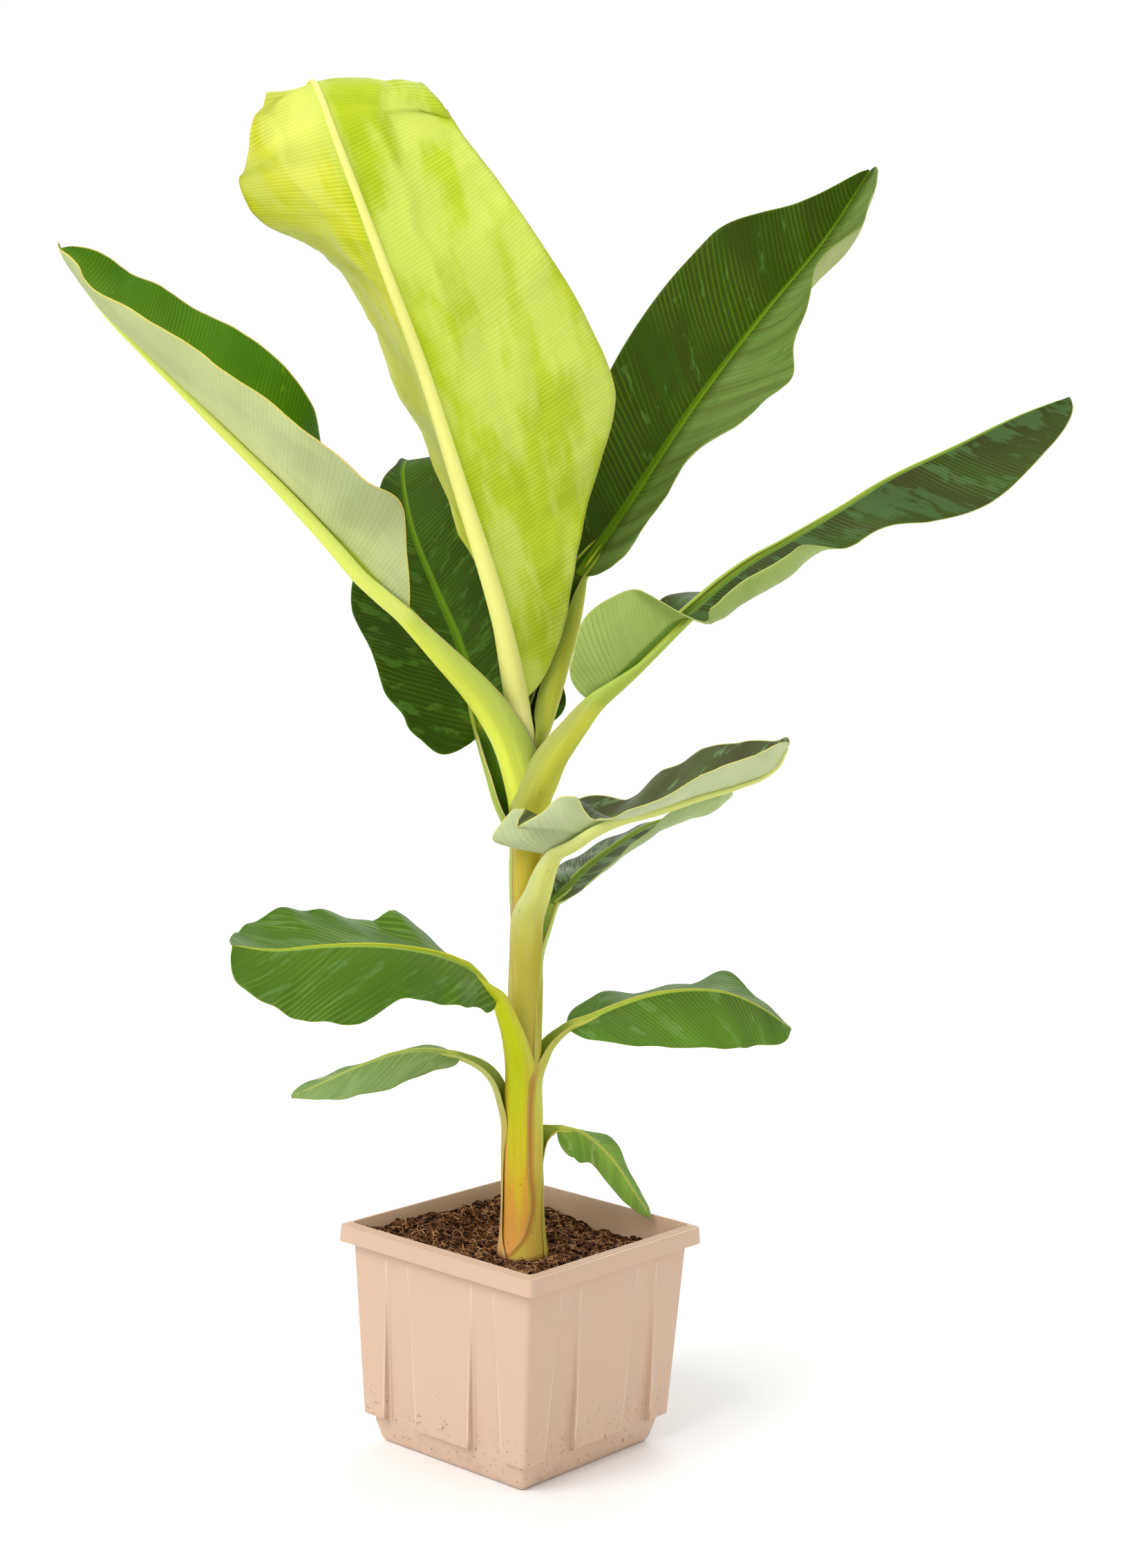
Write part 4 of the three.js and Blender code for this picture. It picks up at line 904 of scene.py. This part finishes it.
def make_pot(material):
    profile = pot_profile()
    columns = 4 * len(outline_side(100, 100, 10, 1, 1))
    rings = []
    for i, (z, half, relief, ledge) in enumerate(profile):
        inside = i >= len(profile) - len(INNER_LEVELS) - 3
        radius = inner_radius(z) if inside else corner_radius(z)
        points = []
        for k in range(4):
            turned = Matrix.Rotation(k * math.pi / 2, 3, "Z")
            points += [turned @ Vector((y * MM, x * MM, z * MM))
                       for x, y in outline_side(z, half, radius, relief, ledge)]
        rings.append(points if half else [Vector((0, 0, z * MM))] * columns)

    def place(s, t):
        return rings[round(s * (len(profile) - 1))][round((t + 1) / 2 * columns) % columns]

    bm = moved_grid(columns, len(profile) - 1, place)
    join(bm, reach=1e-5)
    piece = finish_piece(bm, "pot_body", [material], ("pot",))
    edges = piece.modifiers.new("Soft edges", "BEVEL")
    edges.width = 0.0005
    edges.segments = 2
    edges.limit_method = "ANGLE"
    edges.angle_limit = math.radians(28)
    edges.harden_normals = True


def lumps_at(x, y, size, level):
    """Noise from -1 to 1 over a place in the pot, for lumps of about this size."""
    return noise.noise(Vector((x / size, y / size, level)))


def mound_at(x, y, middle):
    return math.exp(-((x - middle[0]) ** 2 + (y - middle[1]) ** 2) / 500)


def soil_level(x, y):
    """Level of the soil in millimetres at a place in the pot."""
    reach = math.hypot(x, y)
    plain = PLANT.inverted() @ Vector((x, y, 0))
    away = smooth(reach, 26, 50)
    bank = 4 + 12 * (x / 119) ** 2 - 3 * x / 119 - 2 * y / 119
    lumps = 3.2 * lumps_at(x, y, 34, 4.2) + 4.0 * lumps_at(x, y, 14, 8.1)
    crumbs = 2.4 * lumps_at(x, y, 5.5, 1.7) + 1.2 * lumps_at(x, y, 2.4, 3.3)
    mound = 8 * mound_at(x, y, (-60, 100)) + 5 * mound_at(plain.x, plain.y, (42, 52))
    level = SOIL_LEVEL + bank * smooth(reach, 33, 115) + away * (lumps + mound) + crumbs * mix(0.4, 1, away)
    return min(level, POT_HEIGHT - 5)


def on_soil(x, y, above):
    return Vector((x, y, soil_level(x, y) + above)) * MM


def make_bed(material, half):
    """The soil itself, from its lumpy top down to a flat underside."""
    core = half - inner_radius(MOUTH_BOTTOM)

    def place(s, t):
        x, y = t * half, (2 * s - 1) * half
        if abs(x) > core and abs(y) > core:
            dx, dy = abs(x) - core, abs(y) - core
            far = max(dx, dy) / math.hypot(dx, dy)
            x = math.copysign(core + dx * far, x)
            y = math.copysign(core + dy * far, y)
        z = soil_level(x, y)
        widened = mix(1, (inner_half(z) - 0.1) / half, smooth(max(abs(x), abs(y)) / half, 0.85, 1))
        return Vector((x * widened, y * widened, z)) * MM

    bm = moved_grid(SOIL_CELLS, SOIL_CELLS, place)
    walls = bmesh.ops.extrude_edge_only(bm, edges=[e for e in bm.edges if e.is_boundary])
    share = (wall_half(SOIL_BOTTOM) - WALL - 3) / half
    for v in walls["geom"]:
        if isinstance(v, bmesh.types.BMVert):
            v.co = Vector((v.co.x * share, v.co.y * share, SOIL_BOTTOM * MM))
    bmesh.ops.recalc_face_normals(bm, faces=bm.faces)
    finish_piece(bm, "soil_bed", [material], ("soil",))


def make_crumbs(material, rng, spot):
    bm = bmesh.new()
    for _ in range(CRUMBS):
        x, y = spot()
        size = rng.uniform(0.9, 3.6) * (1.5 if rng.random() < 0.12 else 1)
        made = bmesh.ops.create_icosphere(bm, subdivisions=2, radius=size * MM)["verts"]
        shape = Vector((rng.uniform(0.7, 1.3), rng.uniform(0.7, 1.3), rng.uniform(0.5, 0.9)))
        seed = rng.uniform(0, 90)
        centre = on_soil(x, y, size * 0.15)
        for v in made:
            wild = 1 + 0.45 * noise.noise(v.co / MM / size * 1.4 + Vector((seed, 0, 0)))
            v.co = centre + v.co * shape * wild
    finish_piece(bm, "soil_crumbs", [material])


def make_chips(material, rng, spot):
    bm = bmesh.new()
    for _ in range(CHIPS):
        x, y = spot()
        size = Vector((rng.uniform(4, 13), rng.uniform(2, 5), rng.uniform(0.8, 2)))
        made = bmesh.ops.create_cube(bm, size=1.0)["verts"]
        heading = Matrix.Rotation(rng.uniform(0, math.tau), 3, "Z")
        turned = heading @ Matrix.Rotation(rng.uniform(-0.5, 0.5), 3, "Y")
        centre = on_soil(x, y, size.z * 0.6)
        for v in made:
            skew = Vector((rng.uniform(-0.18, 0.18), rng.uniform(-0.2, 0.2), rng.uniform(-0.2, 0.2)))
            v.co = centre + turned @ ((v.co + skew) * size) * MM
    chips = finish_piece(bm, "soil_bark_chips", [material], smooth_shading=False)
    worn = chips.modifiers.new("Worn edges", "BEVEL")
    worn.width = 0.0003
    worn.segments = 1


def make_fibres(material, rng, spot, most):
    """Curved fibres on the soil, none further out than most millimetres."""
    bm = bmesh.new()
    for _ in range(FIBRES):
        x, y = spot()
        length = rng.uniform(4, 22) * rng.uniform(0.5, 1.3)
        heading = rng.uniform(0, math.tau)
        bend = rng.uniform(-0.25, 0.25)
        thick = rng.uniform(0.18, 0.5)
        arch = rng.uniform(0.5, 1.5) * (4 if rng.random() < 0.25 else 1)
        for v in bmesh.ops.create_grid(bm, x_segments=4, y_segments=5, size=1.0)["verts"]:
            u = (v.co.y + 1) / 2
            angle = v.co.x * math.pi
            turn = heading + bend * 5 * u
            ahead = Vector((math.cos(turn), math.sin(turn), 0))
            px = clamp(x + ahead.x * length * (u - 0.5), -most, most)
            py = clamp(y + ahead.y * length * (u - 0.5), -most, most)
            above = 0.4 + arch * math.sin(math.pi * u) + thick * math.sin(angle)
            aside = thick * math.cos(angle) * MM
            v.co = on_soil(px, py, above) + Vector((-ahead.y, ahead.x, 0)) * aside
    join(bm)
    finish_piece(bm, "soil_fibres", [material])


def make_soil(earth, chips, fibres):
    half = inner_half(MOUTH_BOTTOM) - 0.4
    rng = random.Random(11)

    def spot():
        while True:
            x, y = rng.uniform(-1, 1) * (half - 5), rng.uniform(-1, 1) * (half - 5)
            if math.hypot(x, y) > STEM_CLEARANCE:
                return x, y

    make_bed(earth, half)
    make_crumbs(earth, rng, spot)
    make_chips(chips, rng, spot)
    make_fibres(fibres, rng, spot, half - 2)


# Shader groups and materials.

class Tree:
    """Short calls for building a node tree."""

    def __init__(self, tree):
        self.nodes, self.links = tree.nodes, tree.links

    def feed(self, socket, value):
        if isinstance(value, bpy.types.NodeSocket):
            self.links.new(value, socket)
        else:
            socket.default_value = value

    def node(self, kind, inputs=(), **settings):
        node = self.nodes.new(kind)
        for name, value in settings.items():
            setattr(node, name, value)
        for name, value in dict(inputs).items():
            self.feed(node.inputs[name], value)
        return node

    def math(self, operation, *values, clamped=False):
        return self.node("ShaderNodeMath", enumerate(values), operation=operation,
                         use_clamp=clamped).outputs[0]

    def times(self, a, b):
        return self.math("MULTIPLY", a, b)

    def plus(self, a, b):
        return self.math("ADD", a, b)

    def mix(self, factor, a, b):
        a, b = ((*v, 1) if isinstance(v, tuple) else v for v in (a, b))
        return self.node("ShaderNodeMix", {0: factor, 6: a, 7: b}, data_type="RGBA").outputs[2]

    def layers(self, colour, *layers):
        """A colour with others laid over it in turn, each by a mask and a strength."""
        for over, mask, strength in layers:
            colour = self.mix(self.times(mask, strength), colour, over)
        return colour

    def band(self, value, low, high):
        """0 below low and 1 above high, and the other way round where high is below low."""
        return self.node("ShaderNodeMapRange", {"Value": value, "From Min": low, "From Max": high},
                         interpolation_type="SMOOTHSTEP").outputs[0]

    def noise(self, vector, scale, detail=3.0, roughness=0.55):
        return self.node("ShaderNodeTexNoise", {
            "Vector": vector, "Scale": scale, "Detail": detail, "Roughness": roughness}).outputs["Fac"]

    def drawn_out(self, vector, x, y, *detail):
        """Noise with its own scale along each axis of a map."""
        mapped = self.node("ShaderNodeMapping", {"Vector": vector, "Scale": (x, y, 1.0)}).outputs[0]
        return self.noise(mapped, 1.0, *detail)

    def split(self, vector):
        return self.node("ShaderNodeSeparateXYZ", {0: vector}).outputs

    def attribute(self, name):
        return self.node("ShaderNodeAttribute", attribute_name=name).outputs["Fac"]

    def map(self):
        return self.node("ShaderNodeUVMap", uv_map="metres").outputs[0]

    def place(self):
        return self.node("ShaderNodeTexCoord").outputs["Object"]

    def group(self, group, inputs):
        return self.node("ShaderNodeGroup", inputs, node_tree=group).outputs

    def surface(self, colour, roughness, specular=0.5, bump=None):
        """The material's shader. bump is a strength, a distance in metres and a height."""
        inputs = {"Base Color": colour, "Roughness": roughness, "Specular IOR Level": specular}
        if bump:
            named = zip(("Strength", "Distance", "Height"), bump)
            inputs["Normal"] = self.node("ShaderNodeBump", named).outputs[0]
        shader = self.node("ShaderNodeBsdfPrincipled", inputs)
        self.node("ShaderNodeOutputMaterial", {"Surface": shader.outputs[0]})
        return shader


def vein_values(t, given, moved):
    """Side veins that run across a blade: soft streaks along them, thin lines and a height."""
    broad = t.drawn_out(moved, 3, 45, 3, 0.6)
    fine = t.drawn_out(moved, 5, 330, 2, 0.5)
    warp = t.drawn_out(moved, 5, 16, 1)
    turns = t.math("DIVIDE", t.split(given["Map"])[1], given["Spacing"])
    wave = t.math("SINE", t.times(t.plus(turns, t.times(warp, 2.4)), math.tau))
    shown = t.band(t.drawn_out(moved, 9, 14, 2), 0.36, 0.62)
    yield t.plus(t.times(broad, 0.65), t.times(fine, 0.35))
    yield t.times(t.band(wave, 0.1, 1.0), shown)
    yield t.plus(t.times(wave, 0.5), t.times(fine, 0.6))


def blotch_values(t, given, moved):
    """Crisp patches drawn out along the side veins, a soft cloud, and broad bands of painted sheen."""
    cloud = t.drawn_out(moved, 26, 60, 4, 0.62)
    level = t.math("SUBTRACT", 0.72, t.times(given["Amount"], 0.34))
    yield t.math("DIVIDE", t.math("SUBTRACT", cloud, level), 0.04, clamped=True)
    yield t.drawn_out(moved, 10, 14, 3)
    yield t.band(t.drawn_out(moved, 24, 7, 4, 0.55), 0.42, 0.6)


def streak_values(t, given, moved):
    """Streaks along a stalk or a stem, broad and fine, and small dark spots."""
    yield t.drawn_out(moved, 90, 5, 3)
    yield t.drawn_out(moved, 600, 12, 3, 0.6)
    yield t.band(t.drawn_out(moved, 260, 110, 2, 0.5), 0.70, 0.76)


GROUPS = {
    "Side veins": ({"Spacing": 0.004}, ("Streaks", "Lines", "Height"), vein_values),
    "Blotches": ({"Amount": 0.4}, ("Mask", "Soft", "Painted sheen"), blotch_values),
    "Stalk streaks": ({}, ("Broad", "Fine", "Spots"), streak_values),
}


def new_group(name):
    """A group with a map, its own inputs and a seed that shifts the map."""
    own, outputs, values = GROUPS[name]
    group = bpy.data.node_groups.new(name, "ShaderNodeTree")
    group.interface.new_socket("Map", in_out="INPUT", socket_type="NodeSocketVector")
    for socket, value in {**own, "Seed": 0.0}.items():
        made = group.interface.new_socket(socket, in_out="INPUT", socket_type="NodeSocketFloat")
        made.default_value = value
    for socket in outputs:
        group.interface.new_socket(socket, in_out="OUTPUT", socket_type="NodeSocketFloat")
    t = Tree(group)
    given = t.node("NodeGroupInput").outputs
    seed = t.node("ShaderNodeCombineXYZ", {"Z": given["Seed"]}).outputs[0]
    moved = t.node("ShaderNodeVectorMath", {0: given["Map"], 1: seed}, operation="ADD").outputs[0]
    t.node("NodeGroupOutput", zip(outputs, values(t, given, moved)))
    return group


def new_material(name):
    material = bpy.data.materials.new(name)
    material.use_nodes = True
    material.node_tree.nodes.clear()
    return material, Tree(material.node_tree)


def scaled(colour, factor):
    return tuple(c * factor for c in colour)


def blade_material(name, seed, look, upper, veins, blotches):
    """One side of a blade."""
    material, t = new_material(name)
    uv = t.map()
    vein = t.group(veins, {"Map": uv, "Spacing": look.get("spacing", VEIN_SPACING), "Seed": seed * 1.7})
    patch = t.group(blotches, {"Map": uv, "Amount": look["mottle"], "Seed": seed * 2.3})
    near, far = (look["near"], look["far"]) if upper else (look["back_near"], look["back_far"])
    streak = t.band(vein["Streaks"], 0.36, 0.64)
    soft = t.band(patch["Soft"], 0.32, 0.68)
    hem = look["hem"]
    colour = t.mix(t.band(t.attribute("across"), 0.0, 0.8), near, far)
    if "right" in look and upper == look["turned_up"]:
        half = t.band(t.split(uv)[0], 0.0, 0.02)
        colour = t.mix(t.times(half, t.plus(0.55, t.times(soft, 0.4))), colour, look["right"])
    if upper:
        own = ((look["dusk"], streak, 0.55), (look["patch"], patch["Mask"], 0.8),
               (look["groove"], vein["Lines"], look["veins"] * 0.5))
    else:
        # The last layer underneath is painted sheen: broad lighter bands that stand in for glossy highlights.
        own = ((look["back_vein"], streak, 0.3), (look["back_vein"], vein["Lines"], look["veins"]),
               (look.get("sheen_colour", scaled(near, 1.2)), patch["Painted sheen"], look.get("sheen_strength", 0.3)))
    colour = t.layers(
        colour, *own, (scaled(far, 0.6), soft, 0.12),
        (look["edge"], t.band(t.attribute("hem"), hem, 0.4 * hem), 0.85),
        (look["groove"], t.band(t.attribute("rib"), 0.75, 0.35), 0.9))
    height = t.plus(vein["Height"], t.times(patch["Soft"], 0.6))
    gloss = look["gloss"]
    t.surface(colour, t.plus(0.6 - 0.3 * gloss, t.times(soft, 0.15)), 0.35 * gloss, (0.4, 0.0006, height))
    return material


def margin_material(name, edge):
    material, t = new_material(name)
    worn = t.band(t.drawn_out(t.map(), 1, 90, 3), 0.58, 0.68)
    t.surface(t.mix(worn, edge, scaled(edge, 0.45)), 0.6, 0.1)
    return material


def stalk_material(name, seed, look, warmth, streaks):
    """A sheath, its stalk and its rib, orange at the foot and green further up."""
    material, t = new_material(name)
    streak = t.group(streaks, {"Map": t.map(), "Seed": seed * 1.3})
    level = t.split(t.place())[2]
    across, blade, margin = (t.attribute(name) for name in ("across", "blade", "hem"))
    back = look["back"]
    warmth *= look.get("warm", 0.2)

    def ragged(value, much, low, high):
        """A band whose limits wander with the broad streaks."""
        return t.band(t.plus(value, t.times(streak["Broad"], much)), low, high)

    lines = t.times(t.band(streak["Fine"], 0.54, 0.68), t.band(across, 0.45, 0.7))
    warm = t.times(t.band(streak["Broad"], 0.42, 0.58), t.band(level, 0.43, 0.31))
    colour = t.layers(
        t.mix(ragged(across, 0.3, 0.45, 1.05), back, look["side"]),
        (look.get("low", back), ragged(level, 0.08, *look.get("low_at", (0.46, 0.33))), 0.85),
        (scaled(back, 0.55), t.band(streak["Broad"], 0.36, 0.64), 0.36),
        (PALE_LINE, lines, look.get("lined", 0.15)),
        (WARM_SHEATH, warm, warmth),
        (WARM_FOOT, ragged(level, 0.06, 0.31, 0.215), warmth))
    if "stain" in look:
        brown, reach, height = look["stain"]
        near = t.times(ragged(margin, 3.0, reach + 1.5, 3.5), t.band(level, height, height - 0.03))
        colour = t.layers(colour, (brown, near, 0.8))
    colour = t.layers(
        colour,
        (look["inside"], t.times(t.attribute("inner"), t.band(blade, 0.06, 0.03)), 1.0),
        (look["edge"], t.times(t.band(margin, 1.3, 0.5), t.band(blade, 0.03, 0.0)), 0.8),
        (DARK_SPOT, t.times(streak["Spots"], t.band(level, 0.74, 0.66)), 0.45),
        (look.get("rib", back), t.band(blade, 0.0, 0.04), 0.7 if "rib" in look else 0.25))
    t.surface(colour, 0.42, 0.12, (0.3, 0.0004, streak["Fine"]))
    return material


def pot_material(colour):
    material, t = new_material("Moulded taupe plastic")
    place = t.place()
    x, y, level = t.split(place)
    cloud = t.noise(place, 18, 3)
    dust = t.times(t.band(level, 0.075, 0.0), t.band(t.noise(place, 55, 4, 0.7), 0.48, 0.7))
    grit = t.times(t.band(t.noise(place, 260, 1, 0.4), 0.69, 0.72), t.band(level, 0.10, 0.02))
    base = t.layers(
        colour, (scaled(colour, 0.8), cloud, 0.12), (DUST, dust, 0.35),
        (DARK_SPECK, t.band(t.noise(place, 420, 1, 0.4), 0.74, 0.80), 0.35), (GRIT, grit, 0.7))
    # Painted highlights: thin pale lines along the edges of the raised panels, where their chamfers catch the
    # light.
    aside = t.math("MINIMUM", t.math("ABSOLUTE", x), t.math("ABSOLUTE", y))
    rise = t.band(level, PANEL_BOTTOM * MM, SKIRT_BOTTOM * MM)
    sharp = t.band(t.math("ABSOLUTE", t.math("SUBTRACT", rise, 0.5)), 0.5, 0.48)
    for foot, top in (CORNER_PANEL_EDGE, MIDDLE_PANEL_EDGE):
        line = t.plus(foot * MM, t.times(rise, (top - foot) * MM))
        near = t.band(t.math("ABSOLUTE", t.math("SUBTRACT", aside, line)), 0.0013, 0.0005)
        base = t.layers(base, (PANEL_EDGE_HIGHLIGHT, t.times(near, sharp), 0.4))
    shader = t.surface(base, t.plus(0.34, t.times(cloud, 0.1)), bump=(0.12, 0.0003, t.noise(place, 900, 2)))
    shader.inputs["Coat Weight"].default_value = 0.25
    shader.inputs["Coat Roughness"].default_value = 0.12
    return material


def earth_material(name, dark, light, scale, rough):
    material, t = new_material(name)
    place = t.place()
    colour = t.mix(t.band(t.noise(place, scale, 5, 0.7), 0.42, 0.62), dark, light)
    t.surface(colour, rough, 0.08, (0.7, 0.0008, t.noise(place, 600, 4, 0.7)))
    return material


def floor_material():
    material, t = new_material("Pale floor")
    t.surface(t.layers((0.97, 0.97, 0.97), ((0.95, 0.95, 0.95), t.noise(t.place(), 3, 2), 0.05)), 0.8)
    return material


# Settings, operators and panel.

class PotSettings(PropertyGroup):
    colour: FloatVectorProperty(
        name="Plastic colour", description="Colour of the moulded plastic", subtype="COLOR",
        size=3, min=0, max=1, default=(0.60, 0.41, 0.285))


class LeafSettings(PropertyGroup):
    long_rows: IntProperty(
        name="Rows on long leaves", description="Rows of faces along a leaf over 400 mm",
        default=160, min=20, max=300)
    long_columns: IntProperty(
        name="Columns on long leaves", description="Columns of faces in each half of a long leaf",
        default=30, min=4, max=60)
    small_rows: IntProperty(
        name="Rows on small leaves", description="Rows of faces along a shorter leaf",
        default=90, min=20, max=300)
    small_columns: IntProperty(
        name="Columns on small leaves", description="Columns of faces in each half of a small leaf",
        default=18, min=4, max=60)


class StemSettings(PropertyGroup):
    warmth: FloatProperty(
        name="Orange at the foot", description="How far the foot of the stem turns orange", subtype="FACTOR",
        default=0.75, min=0, max=1)


class SoilSettings(PropertyGroup):
    dark: FloatVectorProperty(
        name="Damp earth", description="Darkest colour of the soil", subtype="COLOR",
        size=3, min=0, max=1, default=(0.012, 0.005, 0.003))
    light: FloatVectorProperty(
        name="Dry earth", description="Lightest colour of the soil", subtype="COLOR",
        size=3, min=0, max=1, default=(0.15, 0.062, 0.026))


class StageSettings(PropertyGroup):
    key_power: FloatProperty(
        name="Main light", description="Strength of the broad light from the upper left", default=1.65, min=0)
    fill_power: FloatProperty(
        name="Fill light", description="Power of the broad light at the right", subtype="POWER",
        unit="POWER", default=4, min=0)
    back_power: FloatProperty(
        name="Back light", description="Power of the light behind the plant", subtype="POWER",
        unit="POWER", default=20, min=0)
    world: FloatProperty(
        name="Surroundings", description="Strength of the white surroundings as a light", default=0.8, min=0)
    backdrop: FloatProperty(
        name="Backdrop", description="Brightness of the white surroundings behind the plant",
        default=1.04, min=0)


class PLANT_OT_pot(Operator):
    """Make the square pot with its raised panels and rim"""

    bl_idname = "plant.make_pot"
    bl_label = "Pot"

    def execute(self, context):
        settings = context.scene.plant_pot
        make_pot(pot_material(tuple(settings.colour)))
        return {"FINISHED"}


class PLANT_OT_soil(Operator):
    """Make the soil with its crumbs, bark chips and fibres"""

    bl_idname = "plant.make_soil"
    bl_label = "Soil"

    def execute(self, context):
        settings = context.scene.plant_soil
        dark, light = tuple(settings.dark), tuple(settings.light)
        earth = earth_material("Damp peat", dark, light, 160, 0.92)
        chips = earth_material("Bark chips", (0.12, 0.045, 0.016), (0.40, 0.21, 0.09), 240, 0.8)
        fibres = earth_material("Coir fibres", (0.22, 0.085, 0.028), (0.80, 0.46, 0.22), 200, 0.8)
        make_soil(earth, chips, fibres)
        return {"FINISHED"}


class PLANT_OT_stem(Operator):
    """Make the stem's heart and every leaf's sheath, stalk and rib"""

    bl_idname = "plant.make_stem"
    bl_label = "Stem and stalks"

    def execute(self, context):
        warmth = context.scene.plant_stem.warmth
        streaks = new_group("Stalk streaks")
        make_heart(stalk_material("Stem heart", 0, STALK_LOOKS["06"], warmth, streaks))
        for number, leaf in LEAVES.items():
            look = STALK_LOOKS[number]
            make_stalk(number, leaf, stalk_material("Stalk " + number, int(number), look, warmth, streaks))
        return {"FINISHED"}


class PLANT_OT_leaves(Operator):
    """Make the blades of all leaves"""

    bl_idname = "plant.make_leaves"
    bl_label = "Leaves"

    def execute(self, context):
        settings = context.scene.plant_leaf
        groups = new_group("Side veins"), new_group("Blotches")
        for number, leaf in LEAVES.items():
            look, name = LOOKS[number], "Leaf " + number
            materials = [blade_material(name + side, int(number), look, upper, *groups)
                         for side, upper in ((" upper", True), (" underside", False))]
            materials.append(margin_material(name + " margin", look["edge"]))
            if Line(leaf["rib"]).length > LONG_LEAF:
                make_blade(number, leaf, materials, settings.long_rows, settings.long_columns)
            else:
                make_blade(number, leaf, materials, settings.small_rows, settings.small_columns)
        return {"FINISHED"}


def make_floor():
    bm = bmesh.new()
    bmesh.ops.create_grid(bm, x_segments=2, y_segments=2, size=12)
    floor = mesh_object(bm, "floor", [floor_material()])
    floor.location.z = -0.0005


def light_surroundings(scene, light, seen):
    """White surroundings of one strength as a light and another behind the plant."""
    scene.view_settings.view_transform = "Standard"
    scene.world = bpy.data.worlds.new("Studio")
    scene.world.use_nodes = True
    t = Tree(scene.world.node_tree)
    background = t.nodes["Background"]
    t.feed(background.inputs["Color"], (1, 1, 1, 1))
    camera = t.node("ShaderNodeLightPath").outputs["Is Camera Ray"]
    t.feed(background.inputs["Strength"], t.plus(light, t.times(camera, seen - light)))


def add_light(name, kind, place, size, power):
    """A sun whose size is an angle, or a square light with a side in metres."""
    data = bpy.data.lights.new(name, kind)
    setattr(data, "angle" if kind == "SUN" else "size", size)
    data.energy = power
    light = add_object(name, data)
    light.location = PLANT @ Vector(place)
    light.rotation_euler = (LIGHT_AIM - light.location).to_track_quat("-Z", "Y").to_euler()


def add_camera(scene):
    """The photograph's camera, from its place, pan, tilt and roll."""
    ahead = Vector((math.sin(CAMERA_PAN), math.cos(CAMERA_PAN), 0))
    level = Vector((math.cos(CAMERA_PAN), -math.sin(CAMERA_PAN), 0))
    up = Vector((0, 0, 1))
    look = ahead * math.cos(CAMERA_TILT) - up * math.sin(CAMERA_TILT)
    tall = up * math.cos(CAMERA_TILT) + ahead * math.sin(CAMERA_TILT)
    right = level * math.cos(CAMERA_ROLL) + tall * math.sin(CAMERA_ROLL)
    head = tall * math.cos(CAMERA_ROLL) - level * math.sin(CAMERA_ROLL)
    data = bpy.data.cameras.new("Camera")
    data.sensor_width = SENSOR
    data.sensor_height = SENSOR
    data.lens = SENSOR * CAMERA_FOCAL / PHOTO_LONG_SIDE
    scene.camera = add_object("Camera", data)
    axes = Matrix((PLANT @ right, PLANT @ head, PLANT @ -look)).transposed().to_4x4()
    scene.camera.matrix_world = Matrix.Translation(in_pot(CAMERA_PLACE)) @ axes


class PLANT_OT_stage(Operator):
    """Make the floor, the lights and the camera"""

    bl_idname = "plant.make_stage"
    bl_label = "Studio"

    def execute(self, context):
        settings = context.scene.plant_stage
        make_floor()
        light_surroundings(context.scene, settings.world, settings.backdrop)
        add_light("Main light", "SUN", (-1.6, -1.5, 2.6), math.radians(35), settings.key_power)
        add_light("Fill light", "AREA", (2.6, -1.4, 1.4), 1.8, settings.fill_power)
        add_light("Back light", "AREA", (0.6, 2.6, 2.2), 2.0, settings.back_power)
        add_camera(context.scene)
        return {"FINISHED"}


OPERATORS = (PLANT_OT_pot, PLANT_OT_soil, PLANT_OT_stem, PLANT_OT_leaves, PLANT_OT_stage)
SETTINGS = (
    ("plant_pot", PotSettings),
    ("plant_soil", SoilSettings),
    ("plant_stem", StemSettings),
    ("plant_leaf", LeafSettings),
    ("plant_stage", StageSettings),
)


class PLANT_PT_pieces(Panel):
    bl_idname = "PLANT_PT_pieces"
    bl_label = "Banana plant"
    bl_space_type = "VIEW_3D"
    bl_region_type = "UI"
    bl_category = "Plant"

    def draw(self, context):
        for (name, group), operator in zip(SETTINGS, OPERATORS):
            box = self.layout.box()
            for prop in group.__annotations__:
                box.prop(getattr(context.scene, name), prop)
            box.operator(operator.bl_idname)


def register():
    for name, group in SETTINGS:
        bpy.utils.register_class(group)
        setattr(bpy.types.Scene, name, PointerProperty(type=group))
    for operator in OPERATORS:
        bpy.utils.register_class(operator)
    bpy.utils.register_class(PLANT_PT_pieces)


def unregister():
    bpy.utils.unregister_class(PLANT_PT_pieces)
    for operator in reversed(OPERATORS):
        bpy.utils.unregister_class(operator)
    for name, group in reversed(SETTINGS):
        delattr(bpy.types.Scene, name)
        bpy.utils.unregister_class(group)


def main():
    register()
    bpy.ops.plant.make_pot()
    bpy.ops.plant.make_soil()
    bpy.ops.plant.make_stem()
    bpy.ops.plant.make_leaves()
    bpy.ops.plant.make_stage()


if __name__ == "__main__":
    main()
